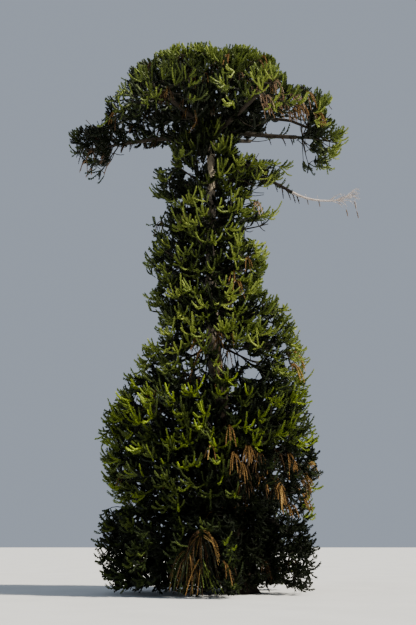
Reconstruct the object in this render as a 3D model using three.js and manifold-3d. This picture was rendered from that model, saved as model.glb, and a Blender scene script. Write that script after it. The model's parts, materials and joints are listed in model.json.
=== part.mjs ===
// Monkey puzzle tree: a bare trunk, tapering limbs and masses of rope-like shoots.
// Millimetres, +Z up. The origin is the middle of the flat cut under the trunk, at ground level.
// +X is the right of the tree, -Y its front.
import * as THREE from "three";
import { mergeVertices } from "three/addons/utils/BufferGeometryUtils.js";
import Module from "manifold-3d";

const wasm = await Module();
wasm.setup();

const METRE = 1000;
const UP = new THREE.Vector3(0, 0, 1);

// Driving dimensions of the trunk
const TREE_TOP = 19.3 * METRE;
const TRUNK_TOP = 17.5 * METRE;
const TRUNK_RADIUS = 0.43 * METRE;
const TAPER_LENGTH = 13.7 * METRE; // the height over which the trunk thins to 1/e
const LEAN = 0.86 * METRE; // how far the upper trunk stands to the left of its foot
const LEAN_HEIGHT = 10 * METRE;
const FLARE = 0.2 * METRE;
const FLARE_HEIGHT = 0.4 * METRE;
const BUTTRESSES = 5;
const BUTTRESS_DEPTH = 0.16;
const TRUNK_SIDES = 14;
const TRUNK_STEPS = 13;
const RING_CROWDING = 1.6; // above 1 the trunk's rings stand closer together towards its foot

// Driving dimensions of limbs, stems and shoots
const SEAT_GAP = 0.3; // between a piece and the one that carries it
const LIMB_RADIUS = 0.085 * METRE;
const LIMB_TAPER = 0.6; // the radius of a limb's end as a share of its root's
const LIMB_SPRING = 15.9; // metres, the height at which the umbrella's limbs leave the trunk
const LIMB_STAGGER = 0.14; // metres, by which each limb springs above or below the next
const LOW_STAGGER = 0.12;
const TIER_STAGGER = 0.04; // as a share of the tier's height
const LIMB_SIDES = 6;
const LIMB_STEPS = 4;
const LIMB_BALL_STEP = 0.06 * METRE;
const STEM_RADIUS = 0.075 * METRE;
const STEM_REACH = 0.94; // how near a stem comes to the outline, as a share of the reach
const STEM_DROOP = 0.06;
const HANG_OUTWARD = 0.5 * METRE;
const HANG_NARROWING = 0.6;
const ONWARD = 0.4; // how far a limbed stem keeps its limb's direction, as a share of its length
const TWIG_RADIUS = 0.065 * METRE;
const SHOOT_RADIUS = 0.155 * METRE;
const SHOOT_LENGTH = 1.35 * METRE; // the longest, past which a twig carries it out
const SHOOT_LEAST = 0.42 * METRE;
const SHOOT_LEAN = 0.5; // how far back along its stem a shoot springs, as a share of its span
const FIRST_SPRING = 0.15; // along a stem, as a share of its length
const SPRING_STEP = 0.04;
const VARIETY = 0.3; // between the thinnest and the thickest shoot, as a share
const TIP_MARGIN = 0.02 * METRE;
const OUTLINE_MARGIN = 0.6; // of a margin is kept to the crown's outline, where nothing stands beside it
const FREE_SHARE = 0.35; // of a shoot's length, from its root, that may leave its space
const CLEARANCE = 0.04 * METRE;
const GROUND_CLEARANCE = 0.02 * METRE;
const CORNER_SHARE = 0.8; // how far a three-sided shoot reaches to its flat sides, as a share
const CORE_SIDES = 6;
const CORE_SHARE = 0.27; // of the width of a mass's space
const CORE_RINGS = [0.12, 0.42, 0.72, 0.9]; // out along its space, as shares
const CANDIDATES = 14;

// The umbrella: how far it reaches each way from the trunk, in metres, at heights in metres. On both
// sides it steps out to the masses that hang from its two long limbs.
const UMBRELLA_SIDES = [
  { z: 14.2, left: 4.4, right: 4.2 },
  { z: 15.3, left: 5.2, right: 4.85 },
  { z: 16.0, left: 5.1, right: 5.05 },
  { z: 16.4, left: 4.1, right: 4.45 },
  { z: 17.5, left: 3.9, right: 4.5 },
  { z: 18.0, left: 3.45, right: 3.4 },
  { z: 18.6, left: 2.9, right: 2.7 },
  { z: 19.1, left: 2.1, right: 2.1 },
  { z: 19.3, left: 1.0, right: 1.0 },
];
const UMBRELLA_FRONT = 4.3;
const UMBRELLA_BACK = 4.0;
const UMBRELLA_FOOT = 15.4 * METRE; // where it reaches furthest to the front and back
const UMBRELLA_ROUNDNESS = 0.75;
const UMBRELLA_DROP = 1.8 * METRE; // the height over which the hanging rim draws in
const UMBRELLA_DRAW = 0.35;
const RIM_INNER = 3.1 * METRE; // where the limbs end and the rim masses begin
const TIER_BULGE = 0.08;

// Colours seen in daylight
const COLOURS = {
  bark: { color: 0x7a7166, roughness: 0.95 },
  foliage: { color: 0x3d5222, roughness: 0.8 },
  dead_foliage: { color: 0x7b4f30, roughness: 0.9 },
  dead_wood: { color: 0xa89684, roughness: 0.9 },
};
const materials = {};
for (const [slot, look] of Object.entries(COLOURS)) {
  materials[slot] = new THREE.MeshStandardMaterial({ ...look, metalness: 0 });
}

const tree = new THREE.Group();
tree.name = "monkey_puzzle_tree";

// A repeatable stream of numbers from 0 to 1, started by a name
function seeded(name) {
  let state = 7;
  for (const letter of name) state = (state * 31 + letter.charCodeAt(0)) % 4294967296;
  const next = () => {
    state = (state * 1664525 + 1013904223) % 4294967296;
    return state / 4294967296;
  };
  for (let i = 0; i < 8; i++) next();
  return next;
}

function smoothStep(t) {
  const s = Math.min(Math.max(t, 0), 1);
  return s * s * (3 - 2 * s);
}

// The trunk leans to the left over its first ten metres and then stands upright
function trunkCentre(z) {
  return -LEAN * smoothStep(z / LEAN_HEIGHT);
}

function trunkRadius(z) {
  return TRUNK_RADIUS * Math.exp(-z / TAPER_LENGTH) + FLARE * Math.exp(-z / FLARE_HEIGHT);
}

// A place given by its distance from the trunk's middle, its direction and its height
function place(distance, azimuth, z) {
  const x = trunkCentre(z) + distance * Math.cos(azimuth);
  return new THREE.Vector3(x, distance * Math.sin(azimuth), z);
}

// A three.js geometry as a solid that can be joined and cut
function solidOf(geometry) {
  return new wasm.Manifold(
    new wasm.Mesh({
      numProp: 3,
      vertProperties: geometry.attributes.position.array,
      triVerts: new Uint32Array(geometry.index.array),
    }),
  );
}

// A closed shape with a ring of corners at each whole height, and its ends flat or pointed
function unitShape(sides, steps, rootPointed, tipPointed) {
  const geometry = rootPointed
    ? new THREE.SphereGeometry(1, sides, steps)
    : new THREE.CylinderGeometry(tipPointed ? 0 : 1, 1, 1, sides, steps);
  geometry.deleteAttribute("normal");
  geometry.deleteAttribute("uv");
  const merged = mergeVertices(geometry, 1e-5);
  const position = merged.attributes.position;
  for (let i = 0; i < position.count; i++) {
    const y = THREE.MathUtils.clamp(position.getY(i), -1, 1);
    const share = rootPointed ? 1 - Math.acos(y) / Math.PI : y + 0.5;
    position.setY(i, Math.round(share * steps));
  }
  return merged;
}

// Moves each corner of a unit shape to where a function of its ring, angle and radius puts it
function shaped(geometry, placed) {
  const position = geometry.attributes.position;
  for (let i = 0; i < position.count; i++) {
    const x = position.getX(i);
    const z = position.getZ(i);
    const onAxis = Math.hypot(x, z) < 1e-6;
    const corner = placed(position.getY(i), Math.atan2(z, x), onAxis ? 0 : 1);
    position.setXYZ(i, corner.x, corner.y, corner.z);
  }
  return geometry;
}

// A limb, stem or shoot: rings of corners along a curve, one at each station of place and radius
function sweep(curve, stations, sides) {
  const steps = stations.length - 1;
  const rootPointed = stations[0].radius === 0;
  const tipPointed = stations[steps].radius === 0;
  const chord = curve.getPoint(1).sub(curve.getPoint(0)).normalize();
  const reference = Math.abs(chord.z) < 0.8 ? UP : new THREE.Vector3(1, 0, 0);
  const unit = unitShape(sides, steps, rootPointed, tipPointed);
  return shaped(unit, (ring, angle, share) => {
    const { at, radius } = stations[ring];
    const along = curve.getTangent(at);
    const side = new THREE.Vector3().crossVectors(along, reference).normalize();
    const normal = new THREE.Vector3().crossVectors(side, along);
    return curve
      .getPoint(at)
      .addScaledVector(side, radius * share * Math.cos(angle))
      .addScaledVector(normal, radius * share * Math.sin(angle));
  });
}

// The radius between two stations
function radiusBetween(stations, t) {
  const next = Math.max(stations.findIndex((station) => station.at >= t), 1);
  const [a, b] = [stations[next - 1], stations[next]];
  return a.radius + ((b.radius - a.radius) * (t - a.at)) / (b.at - a.at);
}

// A curve that leaves the straight line from root to tip by a share of its length, upwards or down
function arch(root, tip, rise) {
  const middle = root.clone().lerp(tip, 0.5);
  middle.z += rise * root.distanceTo(tip);
  return new THREE.QuadraticBezierCurve3(root, middle, tip);
}

function addNode(name, slot, made) {
  const mesh = made.getMesh();
  const geometry = new THREE.BufferGeometry();
  geometry.setAttribute("position", new THREE.BufferAttribute(mesh.vertProperties, 3));
  geometry.setIndex(new THREE.BufferAttribute(mesh.triVerts, 1));
  const node = new THREE.Mesh(geometry, materials[slot]);
  node.name = name;
  tree.add(node);
}

// The trunk with its flared foot, grown outwards by a clearance where it serves as a cutter
function trunkSolid(grown) {
  const unit = unitShape(TRUNK_SIDES, TRUNK_STEPS, false, false);
  const geometry = shaped(unit, (ring, angle, share) => {
    const z = TRUNK_TOP * (ring / TRUNK_STEPS) ** RING_CROWDING;
    const lobe = BUTTRESS_DEPTH * Math.cos(BUTTRESSES * angle) * Math.exp(-z / FLARE_HEIGHT);
    const radius = (trunkRadius(z) * (1 + lobe) + grown) * share;
    const corner = place(radius, -angle, z);
    corner.z += (grown * ring) / TRUNK_STEPS;
    return corner;
  });
  return solidOf(geometry);
}

const trunkCutter = trunkSolid(SEAT_GAP);
addNode("trunk", "bark", trunkSolid(0));

// Every limb leaves a row of balls here, so that shoots can keep clear of it
const limbBalls = [];

function addLimb(name, slot, curve, rootRadius, tipRadius) {
  const stations = [];
  for (let i = 0; i <= LIMB_STEPS; i++) {
    const at = i / LIMB_STEPS;
    stations.push({ at, radius: rootRadius + (tipRadius - rootRadius) * at });
  }
  addNode(name, slot, solidOf(sweep(curve, stations, LIMB_SIDES)).subtract(trunkCutter));
  const balls = Math.ceil(curve.getLength() / LIMB_BALL_STEP);
  for (let i = 0; i <= balls; i++) {
    const t = i / balls;
    limbBalls.push({ centre: curve.getPoint(t), radius: radiusBetween(stations, t) });
  }
}

function clearOfLimbs(point, radius) {
  return limbBalls.every(
    (ball) => ball.centre.distanceTo(point) > ball.radius + radius + CLEARANCE,
  );
}

// How far an ellipse with a different reach on each of its four sides reaches in one direction
function reachToward(reach, azimuth) {
  const c = Math.cos(azimuth);
  const s = Math.sin(azimuth);
  const across = c > 0 ? reach.right : reach.left;
  const deep = s > 0 ? reach.back : reach.front;
  return (METRE * across * deep) / Math.hypot(deep * c, across * s);
}

// The umbrella thins towards its top like a dome, and a little towards its hanging rim
function umbrellaReach(z) {
  const up = Math.max(z - UMBRELLA_FOOT, 0) / (TREE_TOP - UMBRELLA_FOOT);
  const down = Math.max(UMBRELLA_FOOT - z, 0) / UMBRELLA_DROP;
  const dome = Math.max(1 - up * up, 0.01) ** UMBRELLA_ROUNDNESS;
  const share = dome * (1 - UMBRELLA_DRAW * down * down);
  const above = UMBRELLA_SIDES.findIndex((row) => row.z * METRE > z);
  const next = above < 0 ? UMBRELLA_SIDES.length - 1 : Math.max(above, 1);
  const [a, b] = [UMBRELLA_SIDES[next - 1], UMBRELLA_SIDES[next]];
  const t = THREE.MathUtils.clamp((z / METRE - a.z) / (b.z - a.z), 0, 1);
  return {
    left: a.left + (b.left - a.left) * t,
    right: a.right + (b.right - a.right) * t,
    front: UMBRELLA_FRONT * share,
    back: UMBRELLA_BACK * share,
  };
}

// Every other tier's reach goes evenly from its foot to its top, and bulges a little between them
function tierReach(tier, z) {
  const share = THREE.MathUtils.clamp((z / METRE - tier.foot) / (tier.top - tier.foot), 0, 1);
  const off = 2 * share - 1;
  const reach = {};
  for (const [side, ends] of Object.entries(tier.reach)) {
    reach[side] = (ends[0] + (ends[1] - ends[0]) * share) * (1 - TIER_BULGE * off * off);
  }
  return reach;
}

// The furthest that a tier reaches in any direction
function widestReach(tier) {
  const ends = tier.reach ? Object.values(tier.reach).flat() : UMBRELLA_SIDES.map((row) => row.left);
  return Math.max(...ends) * METRE;
}

// The space that one mass keeps to: a wedge round the trunk between a lower and an upper surface
function makeSpace(tier, azimuth) {
  const half = (tier.halfAngle * Math.PI) / 180;
  const from = tier.from * METRE;
  const to = tier.to * METRE;
  const widest = Math.min(widestReach(tier), to);
  const reachAt = (z, angle) =>
    reachToward(tier.reach ? tierReach(tier, z) : umbrellaReach(z), angle);
  // Below a limb's end its mass hangs, narrower and further out towards its foot
  const hang = (z) => {
    if (tier.hangs === null) return 0;
    const below = (tier.hangs * METRE - z) / ((tier.hangs - tier.foot) * METRE);
    return THREE.MathUtils.clamp(below, 0, 1);
  };
  const lowest = (r) => Math.max(tier.foot * METRE + tier.footSlope * r, GROUND_CLEARANCE);
  const highest = (r) => tier.top * METRE + tier.topSlope * r;
  const holds = (point, margin) => {
    const x = point.x - trunkCentre(point.z);
    const r = Math.hypot(x, point.y);
    if (point.z < lowest(r) + margin || point.z > highest(r) - margin) return false;
    if (r > reachAt(point.z, Math.atan2(point.y, x)) - margin * OUTLINE_MARGIN) return false;
    if (half >= Math.PI) return true;
    const along = x * Math.cos(azimuth) + point.y * Math.sin(azimuth);
    const across = point.y * Math.cos(azimuth) - x * Math.sin(azimuth);
    if (point.z > highest(r) - (tier.topRound * across * across) / METRE - margin) return false;
    const low = hang(point.z);
    if (along < from + HANG_OUTWARD * low + margin || along > to - margin) return false;
    const side = along * Math.tan(half) * (1 - HANG_NARROWING * low);
    return Math.abs(across) < side - margin / Math.cos(half);
  };
  const sample = (random) => {
    const r = from + (widest - from) * Math.sqrt(random());
    const angle = azimuth + (random() * 2 - 1) * half;
    const z = lowest(r) + (highest(r) - lowest(r)) * random();
    return place(r, angle, z);
  };
  return { holds, sample, lowest, highest, reachAt, azimuth, half, from, tier };
}

// Shoot tips spread evenly through a space: each is the loneliest of several tries
function spreadTips(space, count, random) {
  const tips = [];
  for (let n = 0; n < count; n++) {
    let best = null;
    let bestGap = 0;
    for (let i = 0; i < CANDIDATES; i++) {
      const point = space.sample(random);
      if (!space.holds(point, TIP_MARGIN)) continue;
      const gap = tips.reduce((least, tip) => Math.min(least, tip.distanceTo(point)), Infinity);
      if (gap > bestGap) {
        best = point;
        bestGap = gap;
      }
    }
    if (best) tips.push(best);
  }
  return tips;
}

// Where a shoot leaves the stems: behind the nearest point, so that it leans forward
function springPoint(stems, tip) {
  let best = { distance: Infinity };
  for (const stem of stems) {
    for (let t = FIRST_SPRING; t < 1; t += SPRING_STEP) {
      const distance = stem.curve.getPoint(t).distanceTo(tip);
      if (distance < best.distance) best = { distance, stem, t };
    }
  }
  const back = (best.distance * SHOOT_LEAN) / best.stem.curve.getLength();
  return best.stem.curve.getPoint(Math.max(best.t - back, FIRST_SPRING));
}

// A shoot aims at its point and grows on past it, to its full length or the surface of its space
function grownTip(space, root, aim) {
  const heading = aim.clone().sub(root).normalize();
  let tip = aim;
  let length = root.distanceTo(aim);
  while (length < SHOOT_LENGTH) {
    length += TIP_MARGIN;
    const next = root.clone().addScaledVector(heading, length);
    if (!space.holds(next, TIP_MARGIN)) break;
    tip = next;
  }
  return tip;
}

// Whether a shoot or twig stays in its space and off the limbs
function fits(space, curve, stations) {
  for (let i = 0; i <= 10; i++) {
    const t = i / 10;
    const point = curve.getPoint(t);
    const radius = radiusBetween(stations, t);
    if (!clearOfLimbs(point, radius)) return false;
    if (t > FREE_SHARE && !space.holds(point, radius * CORNER_SHARE + TIP_MARGIN * 0.5)) return false;
  }
  return true;
}

// A stem tapers from its flat root to its pointed tip
function stemStations(radius) {
  return [
    { at: 0, radius },
    { at: 0.35, radius: radius * 0.85 },
    { at: 0.7, radius: radius * 0.7 },
    { at: 1, radius: 0 },
  ];
}

// A twig is pointed at both ends: its root is sunk in its stem, and its shoot springs near its tip
const TWIG_STATIONS = [
  { at: 0, radius: 0 },
  { at: 0.5, radius: TWIG_RADIUS },
  { at: 1, radius: 0 },
];
const TWIG_SPRING = 0.75;
const TWIG_SHARE = 0.75; // of a shoot's full length is left beyond its twig
const TWIG_CURL = 0.3; // of its shoot's curl

// A leafy shoot swells past its middle and ends in a point
function shootStations(width) {
  return [
    { at: 0, radius: 0 },
    { at: 0.6, radius: width },
    { at: 1, radius: 0 },
  ];
}

// The core of a dense mass fills the middle of its space, round the stem
function coreSolid(space, reach) {
  const { coreFoot, coreTop } = space.tier;
  const span = reach - space.from;
  const unit = unitShape(CORE_SIDES, CORE_RINGS.length - 1, true, true);
  const outward = new THREE.Vector3(Math.cos(space.azimuth), Math.sin(space.azimuth), 0);
  const side = new THREE.Vector3().crossVectors(outward, UP);
  const geometry = shaped(unit, (ring, angle, share) => {
    const r = space.from + span * CORE_RINGS[ring];
    const height = space.highest(r) - space.lowest(r);
    const middle = space.lowest(r) + (height * (coreFoot + coreTop)) / 2;
    const wide = r * Math.tan(space.half) * CORE_SHARE * share;
    const tall = ((height * (coreTop - coreFoot)) / 2) * share;
    const corner = place(r, space.azimuth, middle + tall * Math.sin(-angle));
    return corner.addScaledVector(side, -wide * Math.cos(angle));
  });
  return solidOf(geometry);
}

// One mass: a stem, the twigs that carry its farther shoots, and the shoots
function growMass(name, space, stem, reach) {
  const { slot, shoots, curl, width, stemRadius } = space.tier;
  const random = seeded(name);
  const stems = [{ curve: stem }];
  let made = solidOf(sweep(stem, stemStations(stemRadius), 3));
  if (space.tier.coreTop) made = made.add(coreSolid(space, reach));
  for (const aim of spreadTips(space, shoots, random)) {
    let root = springPoint(stems, aim);
    const span = root.distanceTo(aim);
    const stations = shootStations(width * (1 + VARIETY * (random() - 0.5)));
    if (span > SHOOT_LENGTH) {
      const end = root.clone().lerp(aim, 1 - (TWIG_SHARE * SHOOT_LENGTH) / span);
      const twig = arch(root, end, -curl * TWIG_CURL);
      if (!fits(space, twig, TWIG_STATIONS)) continue;
      made = made.add(solidOf(sweep(twig, TWIG_STATIONS, 3)));
      stems.push({ curve: twig });
      root = twig.getPoint(TWIG_SPRING);
    }
    const shoot = arch(root, grownTip(space, root, aim), -curl);
    if (shoot.getLength() < SHOOT_LEAST || !fits(space, shoot, stations)) continue;
    made = made.add(solidOf(sweep(shoot, stations, 3)));
  }
  const whole = made.subtract(trunkCutter).decompose();
  whole.sort((a, b) => b.volume() - a.volume());
  addNode(name, slot, whole[0]);
}

const DIRECTIONS = [
  "right",
  "back_right",
  "back",
  "back_left",
  "left",
  "front_left",
  "front",
  "front_right",
];

function directionName(degrees) {
  return DIRECTIONS[Math.round((((degrees % 360) + 360) % 360) / 45) % 8];
}

// What every mass has unless its tier says otherwise. Heights and reaches are in metres. foot and
// top are the heights of the space's surfaces at the trunk, with their slopes outwards, and reach
// is the crown's half width each way at the foot and at the top; the umbrella's masses take its own.
// topRound lowers that space towards its two sides, by metres at a metre's distance. Below the
// height hangs a mass narrows. spring and tip are the heights, as shares of the tier, at
// which stems leave the trunk and end. curl is how far a shoot's middle hangs below the line from
// its root to its tip, as a share of its length: below zero the shoot droops.
const MASS = {
  slot: "foliage",
  footSlope: 0,
  topSlope: 0,
  topRound: 0,
  hangs: null,
  from: 0.3,
  to: 99,
  spring: 0.35,
  tip: 0.6,
  curl: 0.2,
  width: SHOOT_RADIUS,
  stemRadius: STEM_RADIUS,
  coreFoot: 0.34,
  coreTop: 0.66,
};

// The tiers whose stems spring from the trunk, from the ground up
const TIERS = [
  {
    name: "skirt",
    foot: 2.75,
    footSlope: -0.08,
    top: 4.75,
    topSlope: -0.1,
    reach: { left: [4.2, 4.35], right: [2.95, 3.2], front: [3.3, 3.3], back: [3.2, 3.3] },
    masses: 4,
    turn: 45,
    from: 0.45,
    spring: 0.62,
    tip: 0.38,
    coreFoot: 0.36,
    shoots: 18,
    // The brown dead branches that hang at the front of the skirt, on its right
    front_right: { slot: "dead_foliage", curl: -0.2, coreTop: 0, shoots: 20, width: 0.115 * METRE },
  },
  {
    name: "skirt_top",
    foot: 4.75,
    footSlope: -0.1,
    top: 7.0,
    topSlope: -0.1,
    reach: { left: [4.5, 3.4], right: [3.35, 3.05], front: [3.3, 2.8], back: [3.3, 2.8] },
    masses: 4,
    turn: 0,
    from: 0.4,
    spring: 0.6,
    tip: 0.42,
    coreFoot: 0.32,
    coreTop: 0.62,
    shoots: 19,
  },
  {
    name: "open_tier",
    foot: 7.0,
    footSlope: -0.1,
    top: 8.5,
    topSlope: -0.06,
    reach: { left: [3.3, 2.0], right: [3.4, 3.1], front: [2.6, 2.4], back: [2.6, 2.4] },
    masses: 4,
    turn: 45,
    from: 0.5,
    spring: 0.75,
    tip: 0.45,
    coreTop: 0,
    shoots: 13,
  },
  {
    name: "column_foot",
    foot: 8.5,
    footSlope: -0.06,
    top: 10.0,
    topSlope: 0.02,
    reach: { left: [2.2, 2.3], right: [3.4, 2.15], front: [2.4, 2.2], back: [2.4, 2.2] },
    masses: 4,
    turn: 0,
    spring: 0.4,
    tip: 0.5,
    shoots: 13,
  },
  {
    name: "column_middle",
    foot: 10.0,
    footSlope: 0.02,
    top: 11.45,
    topSlope: 0.05,
    reach: { left: [2.4, 2.5], right: [2.2, 2.2], front: [2.2, 2.1], back: [2.2, 2.1] },
    masses: 4,
    turn: 45,
    shoots: 12,
  },
  {
    name: "column_top",
    foot: 11.45,
    footSlope: 0.05,
    top: 13.05,
    reach: { left: [2.35, 1.95], right: [1.5, 2.6], front: [2.1, 2.0], back: [2.1, 2.0] },
    masses: 4,
    turn: 0,
    shoots: 12,
  },
  {
    name: "upper_tier",
    foot: 13.05,
    top: 14.95,
    topSlope: -0.1,
    reach: { left: [2.4, 2.0], right: [1.6, 3.6], front: [2.1, 2.0], back: [2.1, 2.0] },
    masses: 4,
    turn: 45,
    coreFoot: 0.36,
    coreTop: 0.64,
    shoots: 12,
  },
  {
    name: "dome",
    foot: 15.2,
    footSlope: 0.18,
    top: 17.4,
    topSlope: 0.62,
    to: RIM_INNER / METRE,
    masses: 6,
    turn: 0,
    spring: 0.78,
    tip: 1.0,
    coreFoot: 0.58,
    coreTop: 0.76,
    shoots: 16,
    right: { foot: 15.1, footSlope: 0.45 },
    left: { footSlope: 0.25 },
    // From the front the far side would show under the near one, so its foot is higher
    back_right: { foot: 16.3, footSlope: 0.3 },
    back_left: { foot: 16.3, footSlope: 0.3 },
  },
];

// A ring of masses whose stems spring from the trunk, each a little above or below the next
function addTier(tier) {
  const height = (tier.top - tier.foot) * METRE;
  for (let i = 0; i < tier.masses; i++) {
    const degrees = tier.turn + (360 * i) / tier.masses;
    const direction = directionName(degrees);
    const mass = { ...MASS, ...tier, halfAngle: 180 / tier.masses, ...tier[direction] };
    const azimuth = THREE.MathUtils.degToRad(degrees);
    const stagger = (i % 2 === 0 ? TIER_STAGGER : -TIER_STAGGER) * height;
    const spring = tier.foot * METRE + mass.spring * height + stagger;
    const end = tier.foot * METRE + mass.tip * height;
    const space = makeSpace(mass, azimuth);
    const reach = Math.min(space.reachAt(end, azimuth), mass.to * METRE);
    const stem = arch(place(0, 0, spring), place(reach * STEM_REACH, azimuth, end), -STEM_DROOP);
    growMass(`${tier.name}_${direction}`, space, stem, reach);
  }
}

// A mass at the end of a limb. spring and limbEnd are the heights of the limb's root and end, and
// tipHeight that of the mass's furthest tip.
function addLimbedMass(name, limbName, mass) {
  const azimuth = THREE.MathUtils.degToRad(mass.azimuth);
  const space = makeSpace(mass, azimuth);
  const end = place(space.from, azimuth, mass.limbEnd * METRE);
  const limb = arch(place(0, 0, mass.spring * METRE), end, mass.limbRise);
  addLimb(limbName, "bark", limb, mass.limbRadius, mass.limbRadius * LIMB_TAPER);
  const onward = limb.getTangent(1);
  const root = end.clone().addScaledVector(onward, SEAT_GAP);
  const height = mass.tipHeight * METRE;
  const reach = space.reachAt(height, azimuth);
  const tip = place(reach * STEM_REACH, azimuth, height);
  const bend = root.clone().addScaledVector(onward, root.distanceTo(tip) * ONWARD);
  growMass(name, space, new THREE.QuadraticBezierCurve3(root, bend, tip), reach);
}

// The limbs of the umbrella run out below the dome and carry its rim. The left one slopes down.
const RIM = {
  ...MASS,
  azimuth: 0,
  foot: 14.6,
  top: 18.4,
  topSlope: -0.4,
  topRound: 0.22,
  halfAngle: 30,
  from: RIM_INNER / METRE,
  coreTop: 0,
  shoots: 12,
  limbEnd: 16.0,
  limbRise: -0.03,
  limbRadius: LIMB_RADIUS,
  tipHeight: 15.9,
};
const RIM_MASSES = {
  right: {
    halfAngle: 26,
    limbEnd: 15.75,
    tipHeight: 15.5,
    foot: 14.4,
    hangs: 15.9,
    top: 19.2,
    shoots: 18,
  },
  back_right: { foot: 16.9, top: 18.9, limbEnd: 16.9, tipHeight: 17.1 },
  back_left: { foot: 16.9, top: 18.9, limbEnd: 16.9, tipHeight: 17.1 },
  left: {
    halfAngle: 26,
    limbEnd: 15.5,
    tipHeight: 15.2,
    foot: 14.3,
    hangs: 15.6,
    top: 18.8,
    shoots: 18,
  },
  front_left: { foot: 15.0 },
  front_right: { foot: 15.0 },
};

function addUmbrellaRim() {
  Object.entries(RIM_MASSES).forEach(([direction, changes], i, all) => {
    const mass = { ...RIM, ...changes, azimuth: (360 * i) / all.length };
    mass.spring = LIMB_SPRING + LIMB_STAGGER * (i % 2 === 0 ? 1 : -1);
    addLimbedMass(`umbrella_${direction}`, `limb_${direction}`, mass);
  });
}

// The lowest boughs arch out of the trunk, and their shoots hang to the ground. At the front right
// they leave the foot of the trunk open.
const LOW = {
  ...MASS,
  foot: 0,
  top: 2.7,
  topSlope: -0.08,
  from: 1.3,
  curl: -0.12,
  limbRise: 0.12,
  limbRadius: 0.1 * METRE,
  spring: 2.3,
  limbEnd: 2.15,
  tipHeight: 0.8,
  coreFoot: 0.32,
  coreTop: 0.58,
  shoots: 15,
};
const LOW_MASSES = {
  left: { azimuth: 190, halfAngle: 33, across: 4.6, deep: 3.4, shoots: 18 },
  front: { azimuth: 247, halfAngle: 20, across: 3.2, deep: 3.3, top: 2.3 },
  right: { azimuth: -14, halfAngle: 20, across: 2.5, deep: 3.1, top: 2.3 },
  back: { azimuth: 95, halfAngle: 50, across: 3.3, deep: 3.1 },
};

function addLowMasses() {
  Object.entries(LOW_MASSES).forEach(([direction, changes], i) => {
    const mass = { ...LOW, ...changes };
    const across = [mass.across, mass.across];
    const deep = [mass.deep, mass.deep];
    mass.reach = { left: across, right: across, front: deep, back: deep };
    mass.spring += LOW_STAGGER * (i % 2 === 0 ? 1 : -1);
    addLimbedMass(`low_mass_${direction}`, `low_bough_${direction}`, mass);
  });
}

// The crown's top stands on the end of the trunk
function addCrownTop() {
  const mass = {
    ...MASS,
    halfAngle: 180,
    foot: 17.4,
    footSlope: 0.62,
    top: TREE_TOP / METRE,
    from: 0,
    to: 2.4,
    coreTop: 0,
    shoots: 17,
  };
  const root = place(0, 0, TRUNK_TOP + SEAT_GAP);
  const tip = place(0, 0, TREE_TOP);
  growMass("crown_top", makeSpace(mass, 0), arch(root, tip, 0), 0);
}

// The dead limb on the right: a bough that droops to its bend, and the bare limb beyond it
const DEAD_BEND = place(2.9 * METRE, 0, 13.6 * METRE);
const DEAD_TIP = place(4.5 * METRE, 0, 13.3 * METRE);

function addDeadLimb() {
  const root = place(0, 0, 14.75 * METRE);
  const over = place(1.4 * METRE, 0, 14.55 * METRE);
  const bough = new THREE.QuadraticBezierCurve3(root, over, DEAD_BEND);
  addLimb("dead_limb_bough", "bark", bough, 0.08 * METRE, 0.05 * METRE);
  const start = DEAD_BEND.clone().addScaledVector(bough.getTangent(1), SEAT_GAP);
  const sag = start.clone().addScaledVector(bough.getTangent(1), 0.75 * METRE);
  const limb = new THREE.QuadraticBezierCurve3(start, sag, DEAD_TIP);
  addLimb("dead_limb", "dead_wood", limb, 0.05 * METRE, 0.028 * METRE);
  return limb;
}

// A fan of bare twigs at the dead limb's end
function addDeadTwigs(limb) {
  const mass = {
    ...MASS,
    slot: "dead_wood",
    halfAngle: 9,
    foot: 12.8,
    top: 14.1,
    reach: { left: [5.2, 5.2], right: [5.2, 5.2], front: [5.2, 5.2], back: [5.2, 5.2] },
    from: 4.47,
    coreTop: 0,
    shoots: 14,
    curl: 0.1,
    width: 0.02 * METRE,
    stemRadius: 0.025 * METRE,
  };
  const onward = limb.getTangent(1);
  const root = DEAD_TIP.clone().addScaledVector(onward, SEAT_GAP);
  const tip = place(5.1 * METRE, 0, 13.75 * METRE);
  const bend = root.clone().addScaledVector(onward, 0.3 * METRE);
  growMass("dead_limb_twigs", makeSpace(mass, 0), new THREE.QuadraticBezierCurve3(root, bend, tip), 0);
}

addUmbrellaRim();
addDeadTwigs(addDeadLimb());
addLowMasses();
TIERS.forEach(addTier);
addCrownTop();

export default tree;
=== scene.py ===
import json
import math

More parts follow.
